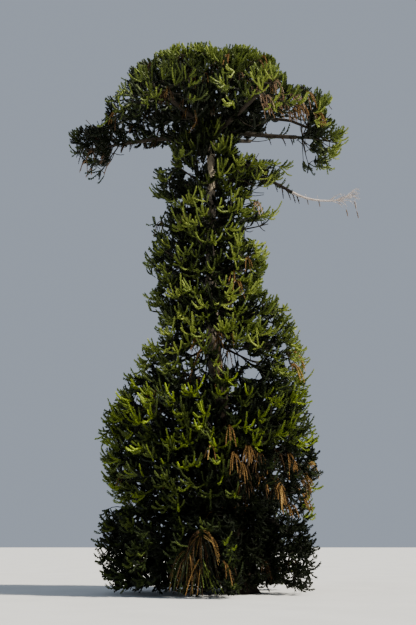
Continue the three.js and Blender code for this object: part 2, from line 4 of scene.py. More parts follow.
import bpy
import numpy as np
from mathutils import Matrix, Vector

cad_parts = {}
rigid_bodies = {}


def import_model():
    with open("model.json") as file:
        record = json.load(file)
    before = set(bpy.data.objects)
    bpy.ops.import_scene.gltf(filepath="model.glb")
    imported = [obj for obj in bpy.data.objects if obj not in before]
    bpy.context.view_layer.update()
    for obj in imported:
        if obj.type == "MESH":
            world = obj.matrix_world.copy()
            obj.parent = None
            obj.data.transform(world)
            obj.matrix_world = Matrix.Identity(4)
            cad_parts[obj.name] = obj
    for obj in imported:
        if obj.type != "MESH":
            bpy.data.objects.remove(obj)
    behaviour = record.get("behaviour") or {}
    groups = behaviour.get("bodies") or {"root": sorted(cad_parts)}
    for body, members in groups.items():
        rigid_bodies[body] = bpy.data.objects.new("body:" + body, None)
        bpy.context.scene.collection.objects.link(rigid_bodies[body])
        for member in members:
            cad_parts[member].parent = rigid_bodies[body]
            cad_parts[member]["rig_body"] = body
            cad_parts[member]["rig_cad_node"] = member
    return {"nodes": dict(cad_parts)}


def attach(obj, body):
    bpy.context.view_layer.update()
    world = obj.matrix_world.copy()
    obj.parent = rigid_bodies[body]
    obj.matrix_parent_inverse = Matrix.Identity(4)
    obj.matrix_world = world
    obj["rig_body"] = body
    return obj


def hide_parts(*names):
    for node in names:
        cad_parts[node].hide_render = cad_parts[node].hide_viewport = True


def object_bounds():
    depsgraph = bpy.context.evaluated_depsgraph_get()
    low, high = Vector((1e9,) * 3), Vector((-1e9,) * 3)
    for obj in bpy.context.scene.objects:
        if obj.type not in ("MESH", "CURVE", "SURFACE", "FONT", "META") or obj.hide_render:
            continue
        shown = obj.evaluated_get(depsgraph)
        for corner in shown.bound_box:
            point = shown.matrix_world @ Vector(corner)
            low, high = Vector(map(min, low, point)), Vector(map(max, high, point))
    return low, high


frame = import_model()
cad_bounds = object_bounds()

# The rule's driving dimensions, as in the part's source
TREE_TOP = 19.3
TRUNK_TOP = 17.5
TRUNK_RADIUS = 0.43
TAPER_LENGTH = 13.7
LEAN = 0.86
LEAN_HEIGHT = 10.0
FLARE = 0.2
FLARE_HEIGHT = 0.4
BUTTRESSES = 5
BUTTRESS_DEPTH = 0.16
LIMB_RADIUS = 0.085
LIMB_SPRING = 15.9
LIMB_STAGGER = 0.14
LOW_STAGGER = 0.12
TIER_STAGGER = 0.04
STEM_REACH = 0.94
STEM_DROOP = 0.06
ONWARD = 0.4
SHOOT_LENGTH = 1.35
SHOOT_LEAN = 0.5
FIRST_SPRING = 0.15
SPRING_STEP = 0.04
TIP_MARGIN = 0.02
OUTLINE_MARGIN = 0.6
GROUND_CLEARANCE = 0.02
CANDIDATES = 14
TWIG_SPRING = 0.75
TWIG_SHARE = 0.75
TWIG_CURL = 0.3
UMBRELLA_HEIGHTS = [14.2, 15.3, 16.0, 16.4, 17.5, 18.0, 18.6, 19.1, 19.3]
UMBRELLA_LEFT = [4.4, 5.2, 5.1, 4.1, 3.9, 3.45, 2.9, 2.1, 1.0]
UMBRELLA_RIGHT = [4.2, 4.85, 5.05, 4.45, 4.5, 3.4, 2.7, 2.1, 1.0]
UMBRELLA_FRONT = 4.3
UMBRELLA_BACK = 4.0
UMBRELLA_FOOT = 15.4
UMBRELLA_ROUNDNESS = 0.75
UMBRELLA_DROP = 1.8
UMBRELLA_DRAW = 0.35
RIM_INNER = 3.1
TIER_BULGE = 0.08
HANG_OUTWARD = 0.5
HANG_NARROWING = 0.6
DOME_TOP = 19.4
DOME_FALL = 0.12

# The viewpoint from which the outline is judged, and how far the finer growth may pass it
VIEW_PLACE = (-0.965, -28.8, 1.6)
CROWN_SHOULDER = 19.1
CROWN_TOP_SEEN = 19.7
OUTLINE_ALLOWANCE = 0.2
BOX_ALLOWANCE = 0.15
VOLUME_TRIES = 600
TINY = 1e-12


def seeded(name):
    """A repeatable stream of numbers from 0 to 1, started by a name, as in the part's source."""
    word = 2**32
    state = 7
    for letter in name:
        state = (state * 31 + ord(letter)) % word

    def draw():
        nonlocal state
        state = (state * 1664525 + 1013904223) % word
        return state / word

    for _ in range(8):
        draw()
    return draw


def unit(vectors):
    return vectors / (np.linalg.norm(vectors, axis=-1, keepdims=True) + TINY)


def smooth_step(t):
    s = np.clip(t, 0, 1)
    return s * s * (3 - 2 * s)


def trunk_centre(z):
    return -LEAN * smooth_step(z / LEAN_HEIGHT)


def trunk_radius(z):
    return TRUNK_RADIUS * np.exp(-z / TAPER_LENGTH) + FLARE * np.exp(-z / FLARE_HEIGHT)


def place(distance, azimuth, z):
    x = trunk_centre(z) + distance * np.cos(azimuth)
    return np.stack([x, distance * np.sin(azimuth), z + 0 * x], axis=-1)


# A curve is three points: its root, the point that bends it, and its tip
def curve_point(curve, t):
    t = np.asarray(t, float)[..., None]
    return (1 - t) ** 2 * curve[0] + 2 * (1 - t) * t * curve[1] + t**2 * curve[2]


def curve_heading(curve, t):
    t = np.asarray(t, float)[..., None]
    return unit((1 - t) * (curve[1] - curve[0]) + t * (curve[2] - curve[1]))


def curve_length(curve, steps=32):
    points = curve_point(curve, np.linspace(0, 1, steps + 1))
    return np.linalg.norm(np.diff(points, axis=0), axis=1).sum()


def arch(root, tip, rise):
    middle = (root + tip) / 2
    middle[2] += rise * np.linalg.norm(tip - root)
    return np.array([root, middle, tip])


def round_trunk(points):
    """The level place of points from the trunk's centre line, and their distance from it."""
    x = points[..., 0] - trunk_centre(points[..., 2])
    return x, points[..., 1], np.hypot(x, points[..., 1])


def reach_toward(reach, azimuth):
    c = np.cos(azimuth)
    s = np.sin(azimuth)
    across = np.where(c > 0, reach["right"], reach["left"])
    deep = np.where(s > 0, reach["back"], reach["front"])
    return across * deep / np.hypot(deep * c, across * s)


def seen(points):
    """Where points appear on the upright plane through the trunk, as seen from the front."""
    scale = VIEW_PLACE[1] / (VIEW_PLACE[1] - points[..., 1])
    x = VIEW_PLACE[0] + (points[..., 0] - VIEW_PLACE[0]) * scale
    z = VIEW_PLACE[2] + (points[..., 2] - VIEW_PLACE[2]) * scale
    return x, z


def umbrella_reach(z):
    up = np.maximum(z - UMBRELLA_FOOT, 0) / (TREE_TOP - UMBRELLA_FOOT)
    down = np.maximum(UMBRELLA_FOOT - z, 0) / UMBRELLA_DROP
    dome = np.maximum(1 - up * up, 0.01) ** UMBRELLA_ROUNDNESS
    share = dome * (1 - UMBRELLA_DRAW * down * down)
    return {
        "left": np.interp(z, UMBRELLA_HEIGHTS, UMBRELLA_LEFT),
        "right": np.interp(z, UMBRELLA_HEIGHTS, UMBRELLA_RIGHT),
        "front": UMBRELLA_FRONT * share,
        "back": UMBRELLA_BACK * share,
    }


def tier_reach(tier, z):
    share = np.clip((z - tier["foot"]) / (tier["top"] - tier["foot"]), 0, 1)
    bulge = 1 - TIER_BULGE * (2 * share - 1) ** 2
    return {side: (low + (high - low) * share) * bulge for side, (low, high) in tier["reach"].items()}


def widest_reach(tier):
    """The furthest that a tier reaches in any direction."""
    if "reach" in tier:
        return max(max(ends) for ends in tier["reach"].values())
    return max(UMBRELLA_LEFT)


class Space:
    """The space that one mass keeps to: a wedge round the trunk between two surfaces."""

    def __init__(self, tier, azimuth):
        self.tier = tier
        self.azimuth = azimuth
        self.half = math.radians(tier["half_angle"])
        self.start = tier["start"]
        self.end = tier["end"]
        self.widest = min(widest_reach(tier), tier["end"])

    def reach_at(self, z, azimuth):
        reach = tier_reach(self.tier, z) if "reach" in self.tier else umbrella_reach(z)
        return reach_toward(reach, azimuth)

    def hang(self, z):
        """How far below its limb's end a mass hangs, from 0 to 1 at its foot."""
        if self.tier["hangs"] is None:
            return np.zeros_like(z)
        return np.clip((self.tier["hangs"] - z) / (self.tier["hangs"] - self.tier["foot"]), 0, 1)

    def lowest(self, r):
        return np.maximum(self.tier["foot"] + self.tier["foot_slope"] * r, GROUND_CLEARANCE)

    def highest(self, r):
        return self.tier["top"] + self.tier["top_slope"] * r

    def level_depth(self, points):
        """How far points lie within the crown's outline, measured level."""
        x, y, r = round_trunk(points)
        return self.reach_at(points[..., 2], np.arctan2(y, x)) - r

    def depth(self, points):
        """How far points lie within the crown, from its outline or the top of its dome."""
        depth = self.level_depth(points)
        if "reach" in self.tier:
            return depth
        below = DOME_TOP - DOME_FALL * round_trunk(points)[2] ** 2 - points[..., 2]
        return np.minimum(depth, np.maximum(below, 0))

    def holds(self, points, margin, overlap=0.0, beyond=0.0):
        """Whether points lie in the space, or an overlap or a little beyond its outline away."""
        z = points[..., 2]
        x, y, r = round_trunk(points)
        low = np.maximum(self.lowest(r) + margin - overlap, GROUND_CLEARANCE + margin)
        inside = (z >= low) & (z <= self.highest(r) - margin + overlap)
        inside &= self.level_depth(points) >= margin * OUTLINE_MARGIN - beyond
        if self.half >= math.pi:
            return inside
        along = x * math.cos(self.azimuth) + y * math.sin(self.azimuth)
        across = y * math.cos(self.azimuth) - x * math.sin(self.azimuth)
        inside &= z <= self.highest(r) - self.tier["top_round"] * across**2 - margin + overlap
        hang = self.hang(z)
        inside &= along >= self.start + HANG_OUTWARD * hang + margin - overlap
        inside &= along <= self.end - margin + overlap
        side = along * math.tan(self.half) * (1 - HANG_NARROWING * hang)
        return inside & (np.abs(across) < side + overlap - margin / math.cos(self.half))

    def in_outline(self, points):
        """Whether points lie within the crown's outline as it is seen from the front."""
        x, z = seen(points)
        top_share = (TREE_TOP - CROWN_SHOULDER) / (CROWN_TOP_SEEN - CROWN_SHOULDER)
        level = np.where(z > CROWN_SHOULDER, CROWN_SHOULDER + (z - CROWN_SHOULDER) * top_share, z)
        reach = tier_reach(self.tier, level) if "reach" in self.tier else umbrella_reach(level)
        x = x - trunk_centre(z)
        inside = (x > -reach["left"] - OUTLINE_ALLOWANCE) & (x < reach["right"] + OUTLINE_ALLOWANCE)
        low = np.array(cad_bounds[0]) - BOX_ALLOWANCE
        high = np.array(cad_bounds[1]) + BOX_ALLOWANCE
        return inside & (z < CROWN_TOP_SEEN) & ((points > low) & (points < high)).all(axis=-1)

    def sample(self, draws):
        """Points for rows of three numbers from 0 to 1."""
        r = self.start + (self.widest - self.start) * np.sqrt(draws[:, 0])
        angle = self.azimuth + (draws[:, 1] * 2 - 1) * self.half
        z = self.lowest(r) + (self.highest(r) - self.lowest(r)) * draws[:, 2]
        return place(r, angle, z)

    def volume(self):
        points = self.sample(np.random.default_rng(1).random((VOLUME_TRIES, 3)))
        r = np.linspace(self.start, self.widest, 9)
        height = np.mean(self.highest(r) - self.lowest(r))
        sector = self.half * (self.widest**2 - self.start**2)
        return sector * height * self.holds(points, 0).mean()


def loneliest(points, others):
    """The point that is furthest from all the others."""
    if not len(others):
        return points[0]
    gaps = np.linalg.norm(points[:, None] - others[None], axis=2).min(axis=1)
    return points[np.argmax(gaps)]


def spread_tips(space, count, draw, tries):
    """Points spread evenly through a space: each is the loneliest of several tries."""
    tips = np.empty((0, 3))
    for _ in range(count):
        points = space.sample(draw(tries))
        points = points[space.holds(points, TIP_MARGIN)]
        if len(points):
            tips = np.vstack([tips, loneliest(points, tips)])
    return tips


def spring_point(branches, tip):
    """Where a shoot leaves the branches: behind the nearest point, so that it leans forward."""
    steps = np.arange(FIRST_SPRING, 1, SPRING_STEP)
    best = (math.inf, None, 0)
    for curve in branches:
        gaps = np.linalg.norm(curve_point(curve, steps) - tip, axis=1)
        nearest = int(np.argmin(gaps))
        if gaps[nearest] < best[0]:
            best = (gaps[nearest], curve, steps[nearest])
    back = best[0] * SHOOT_LEAN / curve_length(best[1])
    return curve_point(best[1], max(best[2] - back, FIRST_SPRING))


def grown_tip(space, root, aim, longest):
    """A shoot grows on past its aim, to its full length or the surface of its space."""
    span = np.linalg.norm(aim - root)
    heading = (aim - root) / span
    lengths = np.arange(span, longest, TIP_MARGIN)[1:]
    points = root + heading * lengths[:, None]
    outside = ~space.holds(points, TIP_MARGIN)
    grown = int(np.argmax(outside)) if outside.any() else len(points)
    return points[grown - 1] if grown > 0 else aim


# The masses, as in the part's source, apart from the left limb's rise. The keys from overlap on are for
# the finer growth: overlap is how far a mass's shoots reach into its neighbours, lift the slope at which
# they point up, and heart the place that they point away from instead. Density and length scale their
# number and length, wander spreads their headings, shade is painted shade that darkens their tints,
# contrast is how strongly the inner ones are painted darker as painted shade, and tufts stand along the
# limb. A direction's name holds what differs there.
MASS = dict(
    masses=4,
    turn=0,
    foot_slope=0,
    top_slope=0,
    top_round=0,
    hangs=None,
    start=0.3,
    end=99,
    spring=0.35,
    tip=0.6,
    curl=0.2,
    dead=False,
    overlap=0.3,
    lift=0.3,
    heart=None,
    heart_share=None,
    density=1,
    length=1,
    wander=0.8,
    shade=0,
    contrast=1,
    tufts=0,
)
DOME_GROWTH = dict(
    heart=(-0.7, 0.0, 15.3), overlap=0.25, contrast=0.62, density=1.15, length=0.85, wander=1.4
)


def ends(left, right, front, back):
    """How far a tier reaches to each side, at its foot and at its top."""
    return {"left": left, "right": right, "front": front, "back": back}


def level_ends(across, deep):
    """The same reach at foot and top."""
    return ends((across, across), (across, across), (deep, deep), (deep, deep))


TIERS = [
    dict(
        name="skirt", foot=2.75, foot_slope=-0.08, top=4.75, top_slope=-0.1,
        reach=ends((4.2, 4.35), (2.95, 3.2), (3.3, 3.3), (3.2, 3.3)),
        turn=45, start=0.45, spring=0.62, tip=0.38, shoots=18, lift=-0.1, shade=0.25,
        front_right=dict(curl=-0.2, shoots=20, dead=True, density=0.9),
    ),
    dict(
        name="skirt_top", foot=4.75, foot_slope=-0.1, top=7.0, top_slope=-0.1,
        reach=ends((4.5, 3.4), (3.35, 3.05), (3.3, 2.8), (3.3, 2.8)),
        start=0.4, spring=0.6, tip=0.42, shoots=19, lift=0, shade=0.15,
    ),
    dict(
        name="open_tier", foot=7.0, foot_slope=-0.1, top=8.5, top_slope=-0.06,
        reach=ends((3.3, 2.0), (3.4, 3.1), (2.6, 2.4), (2.6, 2.4)),
        turn=45, start=0.5, spring=0.75, tip=0.45, shoots=13, density=0.6, lift=0,
    ),
    dict(
        name="column_foot", foot=8.5, foot_slope=-0.06, top=10.0, top_slope=0.02,
        reach=ends((2.2, 2.3), (3.4, 2.15), (2.4, 2.2), (2.4, 2.2)),
        spring=0.4, tip=0.5, shoots=13, lift=0.05,
        left=dict(shade=0.3),
    ),
    dict(
        name="column_middle", foot=10.0, foot_slope=0.02, top=11.45, top_slope=0.05,
        reach=ends((2.4, 2.5), (2.2, 2.2), (2.2, 2.1), (2.2, 2.1)),
        turn=45, shoots=12, lift=0.1,
        front_left=dict(shade=0.25),
        back_left=dict(shade=0.35),
    ),
    dict(
        name="column_top", foot=11.45, foot_slope=0.05, top=13.05,
        reach=ends((2.35, 1.95), (1.5, 2.6), (2.1, 2.0), (2.1, 2.0)),
        shoots=12, lift=0.1,
        left=dict(shade=0.35),
    ),
    dict(
        name="upper_tier", foot=13.05, top=14.95, top_slope=-0.1,
        reach=ends((2.4, 2.0), (1.6, 3.6), (2.1, 2.0), (2.1, 2.0)),
        turn=45, shoots=12, density=0.85, lift=0.15,
        front_right=dict(density=1.3),
        back_right=dict(density=1.1),
        front_left=dict(shade=0.35),
        back_left=dict(shade=0.35),
    ),
    dict(
        name="dome", foot=15.2, foot_slope=0.18, top=17.4, top_slope=0.62, end=RIM_INNER,
        masses=6, spring=0.78, tip=1.0, shoots=16, **DOME_GROWTH,
        right=dict(foot=15.1, foot_slope=0.45),
        left=dict(foot_slope=0.25, shade=0.7),
        front_left=dict(shade=0.15),
        back_right=dict(foot=16.3, foot_slope=0.3),
        back_left=dict(foot=16.3, foot_slope=0.3, shade=0.35),
    ),
]
CROWN_TOP = {**MASS, **DOME_GROWTH} | dict(
    half_angle=180, foot=17.4, foot_slope=0.62, top=TREE_TOP, start=0, end=2.4, shoots=17
)
RIM = {**MASS} | dict(
    foot=14.6, top=18.4, top_slope=-0.4, top_round=0.22, half_angle=30, start=RIM_INNER, shoots=12,
    limb_end=16.0, limb_rise=-0.03, limb_radius=LIMB_RADIUS, tip_height=15.9,
    heart_share=0.95, overlap=0.12, contrast=0.75, length=0.92, wander=1.1,
)
HIGH_LIMB = dict(foot=16.9, top=18.9, limb_end=16.9, tip_height=17.1)
RIM_MASSES = dict(
    right=dict(
        half_angle=26, limb_end=15.75, tip_height=15.5, foot=14.4, hangs=15.9, top=19.2,
        shoots=18, density=0.9, shade=0.15, tufts=7,
    ),
    back_right=HIGH_LIMB,
    back_left=dict(**HIGH_LIMB, shade=0.45),
    left=dict(
        half_angle=26, limb_end=15.5, tip_height=15.2, foot=14.3, hangs=15.6, top=18.8,
        limb_rise=0.05, shoots=18, density=0.95, shade=0.8, tufts=22,
    ),
    front_left=dict(foot=15.0, shade=0.35),
    front_right=dict(foot=15.0),
)
LOW = {**MASS} | dict(
    foot=0, top=2.7, top_slope=-0.08, start=1.3, curl=-0.12, spring=2.3, shoots=15,
    limb_end=2.15, limb_rise=0.12, limb_radius=0.1, tip_height=0.8,
    lift=-0.5, shade=0.5, density=1.3,
)
LOW_FRONT = 247
LOW_MASSES = dict(
    left=dict(azimuth=190, half_angle=33, reach=level_ends(4.6, 3.4), shoots=18),
    front=dict(azimuth=LOW_FRONT, half_angle=20, reach=level_ends(3.2, 3.3), top=2.3, density=1.9),
    right=dict(
        azimuth=-14, half_angle=20, reach=level_ends(2.5, 3.1), top=2.3, density=2.8, shade=1.0
    ),
    back=dict(azimuth=95, half_angle=50, reach=level_ends(3.3, 3.1), density=2),
)

# Rings of sprays just under the umbrella and round the trunk's foot, where no mass of the solids stands.
# Both are darkened by their shade, as painted shade; the ring round the foot is near black and hides the
# trunk's foot.
COLLAR = {**MASS} | dict(
    half_angle=180, foot=14.95, top=15.85, end=1.6, shade=0.35, density=2.2,
    reach=ends((1.7, 1.5), (1.6, 1.2), (1.5, 1.5), (1.2, 1.2)),
)
SKIRT_HEART = {**MASS} | dict(
    half_angle=180, foot=0.1, top=2.9, start=0.5, end=1.45, reach=level_ends(1.45, 1.45),
    shade=1.2, lift=-0.8, density=3.2,
)
RING_STEMS = 7
RING_FROM = 0.3
RING_FALL = 0.2
RING_LENGTH = 0.75
RING_LOWEST = 0.1
DIRECTIONS = "right back_right back back_left left front_left front front_right".split()


def direction_name(degrees):
    return DIRECTIONS[round(degrees % 360 / 45) % 8]


# Driving dimensions of what the solids leave out: first the wood and the leaves
LIMB_FULLNESS = 1.05
LIMB_END = 0.85
STEM_RADIUS = 0.055
STEM_END_RADIUS = 0.0156
BRANCH_RADIUS = 0.026
BRANCH_END_RADIUS = 0.0182
CARRIER_RADIUS = 0.0208
SPRAY_TWIG_RADIUS = 0.0182
TWIG_RADIUS = 0.014
LEAF_LENGTH = 0.088
LEAF_WIDTH = 0.054
LEAF_SPREAD = math.radians(19)
SPREAD_VARIETY = 0.3
LEAF_FOLD = 0.008
LEAF_MIDDLE = 0.36
LEAVES_LOWEST = 0.004
LEAF_JITTER = 0.35
WHORL_STEP = 0.094
WHORL_TURN = 2.4
LEAVES_IN_WHORL = 3
WHORLS_LEAST = 3
CORE_RADIUS = 0.027
CORE_TAPER = 0.7
LEAF_SINK = 0.6
# Towards a shoot's tip the leaves close up, shorten and sit nearer its middle
TIP_FROM = 0.8
TIP_CLOSING = 0.55
TIP_SHORTENING = 0.15
TIP_THINNING = 0.6
STEEP = 0.75
DEAD_THICKNESS = 0.75
DEAD_SIZE = 0.85
TINT_AT = 0.7

# How sprays stand in a mass
SPRAYS_PER_CUBIC_METRE = 5.9
CARRIER_SHARE = 0.72
CARRIER_SIZE = 0.8
# How much deeper carrier shoots count for their tint: painted shade that darkens them
CARRIER_SHADE_DEPTH = 0.8
OUTWARD_PULL = 0.4
SPRAY_TRIES = 12
SPRAY_MARGIN = 0.1
SPRAY_BACK = 0.3
SPRING_POINTS = 14
BEHIND_LEAST = 0.05
AHEAD_COST = 2
TWIG_SPRINGS = [0.6, 1.0]
TWIG_SWING = 0.4
LAST_SPRING = 0.95
HANG_THINNING = 0.9
INNER_DEPTH = 0.9
INNER_LEEWAY = 0.25
INNER_SHARE = 0.32
DEAD_MASS_SHARE = 0.42
# How much deeper the live shoots of a dead mass count for their tint: painted shade that darkens them
DEAD_MASS_SHADE_DEPTH = 0.5

# How shoots stand in a spray
SHOOTS_IN_SPRAY = 7
INNER_FEWER = 2
WITHERED_FEWER = 2
SPRAY_SPREAD = math.radians(62)
SPRAY_TILT = 0.85
SPRUNG_BACK = 0.5
SIZE_VARIETY = 0.2
LEAN_VARIETY = 0.4
TURN_VARIETY = 1.2
GOLDEN_ANGLE = 2.4
SHOOT_SHORTEST = 0.28
SHOOT_LONGEST = 0.52
SHOOT_SIZE = 0.93
SHOOT_LOWEST = 0.09
LONG_SHARE = 0.2
LONG_BY = 1.35
LASH_REACH = 0.24
INNER_LONG_BY = 1.5
INNER_SIZE = 1.7
TURN_UP = 0.3
STEEP_LESS = 0.8
BEND_AT = 0.7
BEND_DOWN = 0.13
TIP_AT = 0.92
HANG_BEND_AT = 0.4
HANG_TIP_AT = 0.6
HANG_FALL = 0.95
CUT_BACK = 0.66

# The heart of a rim mass lies below its limb's end
HEART_DROP = 0.3

# Tufts along a limb: from which share of it, how far they splay, how much they turn up, how many hang
TUFTS_FROM = 0.58
TUFT_SPLAY = 1.8
TUFT_TURN = 0.7
TUFTS_HANGING = 0.3

# Where dead sprays gather: the middle of each patch, its radius and the share that is dead
DEAD_PATCHES = [
    ((0.3, -2.2, 16.6), 0.55, 0.8),
    ((1.2, -2.2, 16.1), 0.75, 1.0),
    ((2.1, -2.2, 15.7), 0.7, 1.0),
    ((1.1, -3.2, 15.5), 0.6, 0.9),
    ((0.9, -1.9, 17.3), 0.45, 0.7),
    ((-5.0, 0.0, 14.35), 0.8, 0.9),
    ((-2.1, -1.5, 12.4), 0.6, 0.9),
    ((1.1, -1.0, 12.3), 0.7, 0.45),
    ((-0.9, -0.5, 7.7), 1.1, 0.75),
    ((-1.6, -2.6, 1.0), 0.8, 0.12),
]
DEAD_SHARE = 0.04
MIXED_DEAD = 0.8
SPRAY_CELL = 0.45
SCRAMBLE = 43758.5453

# Gaps that shoots keep out of: left, foot, right and top as seen from the front. Some end in front of the
# bare trunk or of the mass behind, at the depth given last, and the others go right through the tree.
THROUGH = 9.0
TRUNK_GAPS = [
    (-1.02, 14.9, -0.66, 15.2, -0.2),
    (-1.02, 14.35, -0.66, 14.75, -0.2),
    (-1.02, 13.6, -0.68, 13.95, -0.2),
    (-1.85, 0.0, -0.5, 1.7, -1.9),
]
OPEN_GAPS = [
    (-0.55, 7.35, 0.7, 7.8),
    (0.2, 6.9, 0.9, 7.2),
    (-4.6, 14.6, -2.3, 15.3),
    (-4.6, 13.0, -3.2, 14.6),
    (-0.9, 19.5, -0.4, 19.8),
    (-0.4, 19.58, 0.7, 19.9),
    (3.4, 16.55, 4.7, 17.05),
    (-6.5, 16.3, -4.75, 17.5),
    (-5.2, 17.45, -4.4, 18.3),
    (1.05, 15.9, 2.75, 16.35),
    (0.2, 15.2, 3.0, 15.7),
    (2.5, 14.6, 2.8, 15.25),
    (1.95, 17.9, 3.5, 18.5),
    (1.7, 18.45, 3.0, 19.1),
    (0.75, 14.9, 2.7, 15.2),
    (0.65, 13.35, 3.0, 13.85),
    (0.35, 11.85, 3.0, 12.45),
    (-3.5, 12.75, -2.5, 13.35),
    (0.95, 10.15, 2.5, 10.6),
    (-3.5, 10.15, -2.75, 10.6),
    (-3.5, 8.75, -2.7, 9.3),
    (3.2, 15.35, 3.55, 15.7),
    (-5.3, 14.75, -5.05, 15.1),
    (-5.1, 14.2, -4.9, 14.6),
    (-1.85, 14.25, -1.55, 14.6),
    (0.3, 13.7, 0.6, 13.95),
    (-0.35, 13.1, -0.1, 13.4),
    (0.3, 13.05, 0.6, 13.3),
]
GAPS = np.array(TRUNK_GAPS + [(*gap, THROUGH) for gap in OPEN_GAPS]).T

# Leaf colours, from deep in the crown to its surface, and those of dead shoots. The live tints run from
# painted shade deep in the crown to painted sunlight at its surface.
LIVE_TINTS = ["deep", "dark", "middle", "olive", "light"]
DEAD_TINTS = ["dead_dark", "dead_brown", "dead_pale"]
HIGH_TINTS = {"dead_brown": "dead_umber", "dead_pale": "dead_grey"}
GREY_ABOVE = 9.0
LOW_UNDER = 6.5
LEAF_COLOURS = {
    "deep": (0.006, 0.009, 0.003),
    "dark": (0.02, 0.03, 0.007),
    "middle": (0.055, 0.075, 0.013),
    "olive": (0.118, 0.155, 0.025),
    "light": (0.21, 0.255, 0.044),
    "low_olive": (0.11, 0.15, 0.013),
    "low_light": (0.2, 0.265, 0.018),
    "dead_dark": (0.035, 0.019, 0.007),
    "dead_brown": (0.14, 0.078, 0.023),
    "dead_pale": (0.32, 0.2, 0.06),
    "dead_umber": (0.17, 0.105, 0.06),
    "dead_grey": (0.33, 0.24, 0.16),
}


# All that grows, for the meshes at the end
wood = []
limbs = []
shoots = []


def add_wood(curve, root_radius, tip_radius, dead=False):
    wood.append((curve, root_radius, tip_radius, dead))


def add_shoot(curve, tint, size, thickness=1.0):
    shoots.append((curve, tint, size, thickness))


def cell_noise(point, salt):
    """A number from 0 to 1 that is the same all through one spray-sized cell."""
    cell = np.floor(np.asarray(point) / SPRAY_CELL).astype(int)
    value = math.sin(cell[0] * 127.1 + cell[1] * 311.7 + cell[2] * 74.7 + salt * 53.3) * SCRAMBLE
    return value - math.floor(value)


def dead_share(point):
    share = DEAD_SHARE
    for centre, radius, dead in DEAD_PATCHES:
        if np.linalg.norm(point - np.array(centre)) < radius:
            share = max(share, dead)
    return share


# A tint's number in its list: that of a shoot at the crown's surface, its fall down to the inner depth,
# how much deeper the fall goes on, and its variety from spray to spray. The fall is painted shade: shoots
# deeper in the crown get darker tints.
LIVE_LIGHT = (4.3, 4.4, 1.3, 1.6)
DEAD_LIGHT = (2.1, 2.0, 1, 1.5)
GATHERED_LEAST = 0.7
GATHERED_HIGH = 0.5


def lightness(depth, point, look, salt):
    surface, fall, deepest, variety = look
    # painted shade: the tint darkens with depth in the crown
    darkening = fall * min(depth / INNER_DEPTH, deepest)
    return surface - darkening + variety * (cell_noise(point, salt) - 0.5)


def nearest_tint(tints, light):
    return tints[int(np.clip(round(light), 0, len(tints) - 1))]


def live_tint(depth, point):
    """Outer shoots are painted lighter than those deep in the crown, as painted light and shade, with
    some variety.
    """
    tint = nearest_tint(LIVE_TINTS, lightness(depth, point, LIVE_LIGHT, 2))
    return f"low_{tint}" if f"low_{tint}" in LEAF_COLOURS and point[2] < LOW_UNDER else tint


def dead_tint(depth, point):
    """Dead shoots are painted darker deeper in the crown, as painted shade. High in the crown they are
    grey where they gather and dark among live ones.
    """
    light = lightness(depth, point, DEAD_LIGHT, 3)
    high = point[2] > GREY_ABOVE
    gathered = dead_share(point) > DEAD_SHARE
    if gathered:
        light = max(light, GATHERED_LEAST) + GATHERED_HIGH * high
    elif high:
        light = min(light, 1)
    tint = nearest_tint(DEAD_TINTS, light)
    return HIGH_TINTS.get(tint, tint) if high and gathered else tint


def shortened(curve, share):
    """The first part of a curve."""
    first = curve[0] + (curve[1] - curve[0]) * share
    return np.array([curve[0], first, curve_point(curve, share)])


def grow_mass(name, space, stem):
    """The source's stem, twigs and shoots, with a spray on each shoot and more between them."""
    tier = space.tier
    draw = seeded(name)

    def draws(tries):
        return np.array([draw() for _ in range(3 * tries)]).reshape(tries, 3)

    branches = [stem]
    carriers = []
    add_wood(stem, STEM_RADIUS, STEM_END_RADIUS)
    for aim in spread_tips(space, tier["shoots"], draws, CANDIDATES):
        root = spring_point(branches, aim)
        span = np.linalg.norm(aim - root)
        draw()  # the source draws the shoot's width here
        if span > SHOOT_LENGTH:
            end = root + (aim - root) * (1 - TWIG_SHARE * SHOOT_LENGTH / span)
            twig = arch(root, end, -tier["curl"] * TWIG_CURL)
            branches.append(twig)
            add_wood(twig, BRANCH_RADIUS, BRANCH_END_RADIUS)
            root = curve_point(twig, TWIG_SPRING)
        carriers.append(arch(root, grown_tip(space, root, aim, SHOOT_LENGTH), -tier["curl"]))
    rand = np.random.default_rng(sum(ord(letter) * (i + 1) for i, letter in enumerate(name))).random
    for full in carriers:
        carrier = shortened(full, CARRIER_SHARE)
        add_wood(carrier, CARRIER_RADIUS, TWIG_RADIUS)
        if not in_gap(carrier[1:]).any():
            finish_shoot(space, carrier, False, CARRIER_SIZE, CARRIER_SHADE_DEPTH)
        heading = unit(curve_heading(carrier, 1.0) + OUTWARD_PULL * outward(space, carrier[2]))
        grow_spray(space, carrier, heading, rand)
    grow_sprays(space, branches + carriers, rand)


def finish_shoot(space, curve, dead, size, painted_shade_depth):
    """Gives a shoot its tint and its leaves. The tint is painted darker, as painted shade, by the shoot's
    depth, its mass's shade and the extra depth given.
    """
    middle = curve_point(curve, TINT_AT)
    depth = float(space.depth(middle)) + space.tier["shade"]
    if dead:
        add_shoot(curve, dead_tint(depth, middle), min(size, 1) * DEAD_SIZE, DEAD_THICKNESS)
    else:
        depth = (depth + painted_shade_depth) * space.tier["contrast"]
        add_shoot(curve, live_tint(depth, middle), size)


def outward(space, point):
    """The way in which shoots point: away from the trunk and up, or away from the mass's heart."""
    if space.tier["heart"] is not None:
        return unit(point - np.array(space.tier["heart"]))
    x, y, _ = round_trunk(point)
    flat = unit(np.array([x, y, 0.0]))
    return unit(flat + np.array([0, 0, space.tier["lift"]]))


def in_gap(points):
    x, z = (value[:, None] for value in seen(points))
    left, foot, right, top, back = GAPS
    inside = (x > left) & (x < right) & (z > foot) & (z < top) & (points[:, 1:2] < back)
    return inside.any(axis=1)


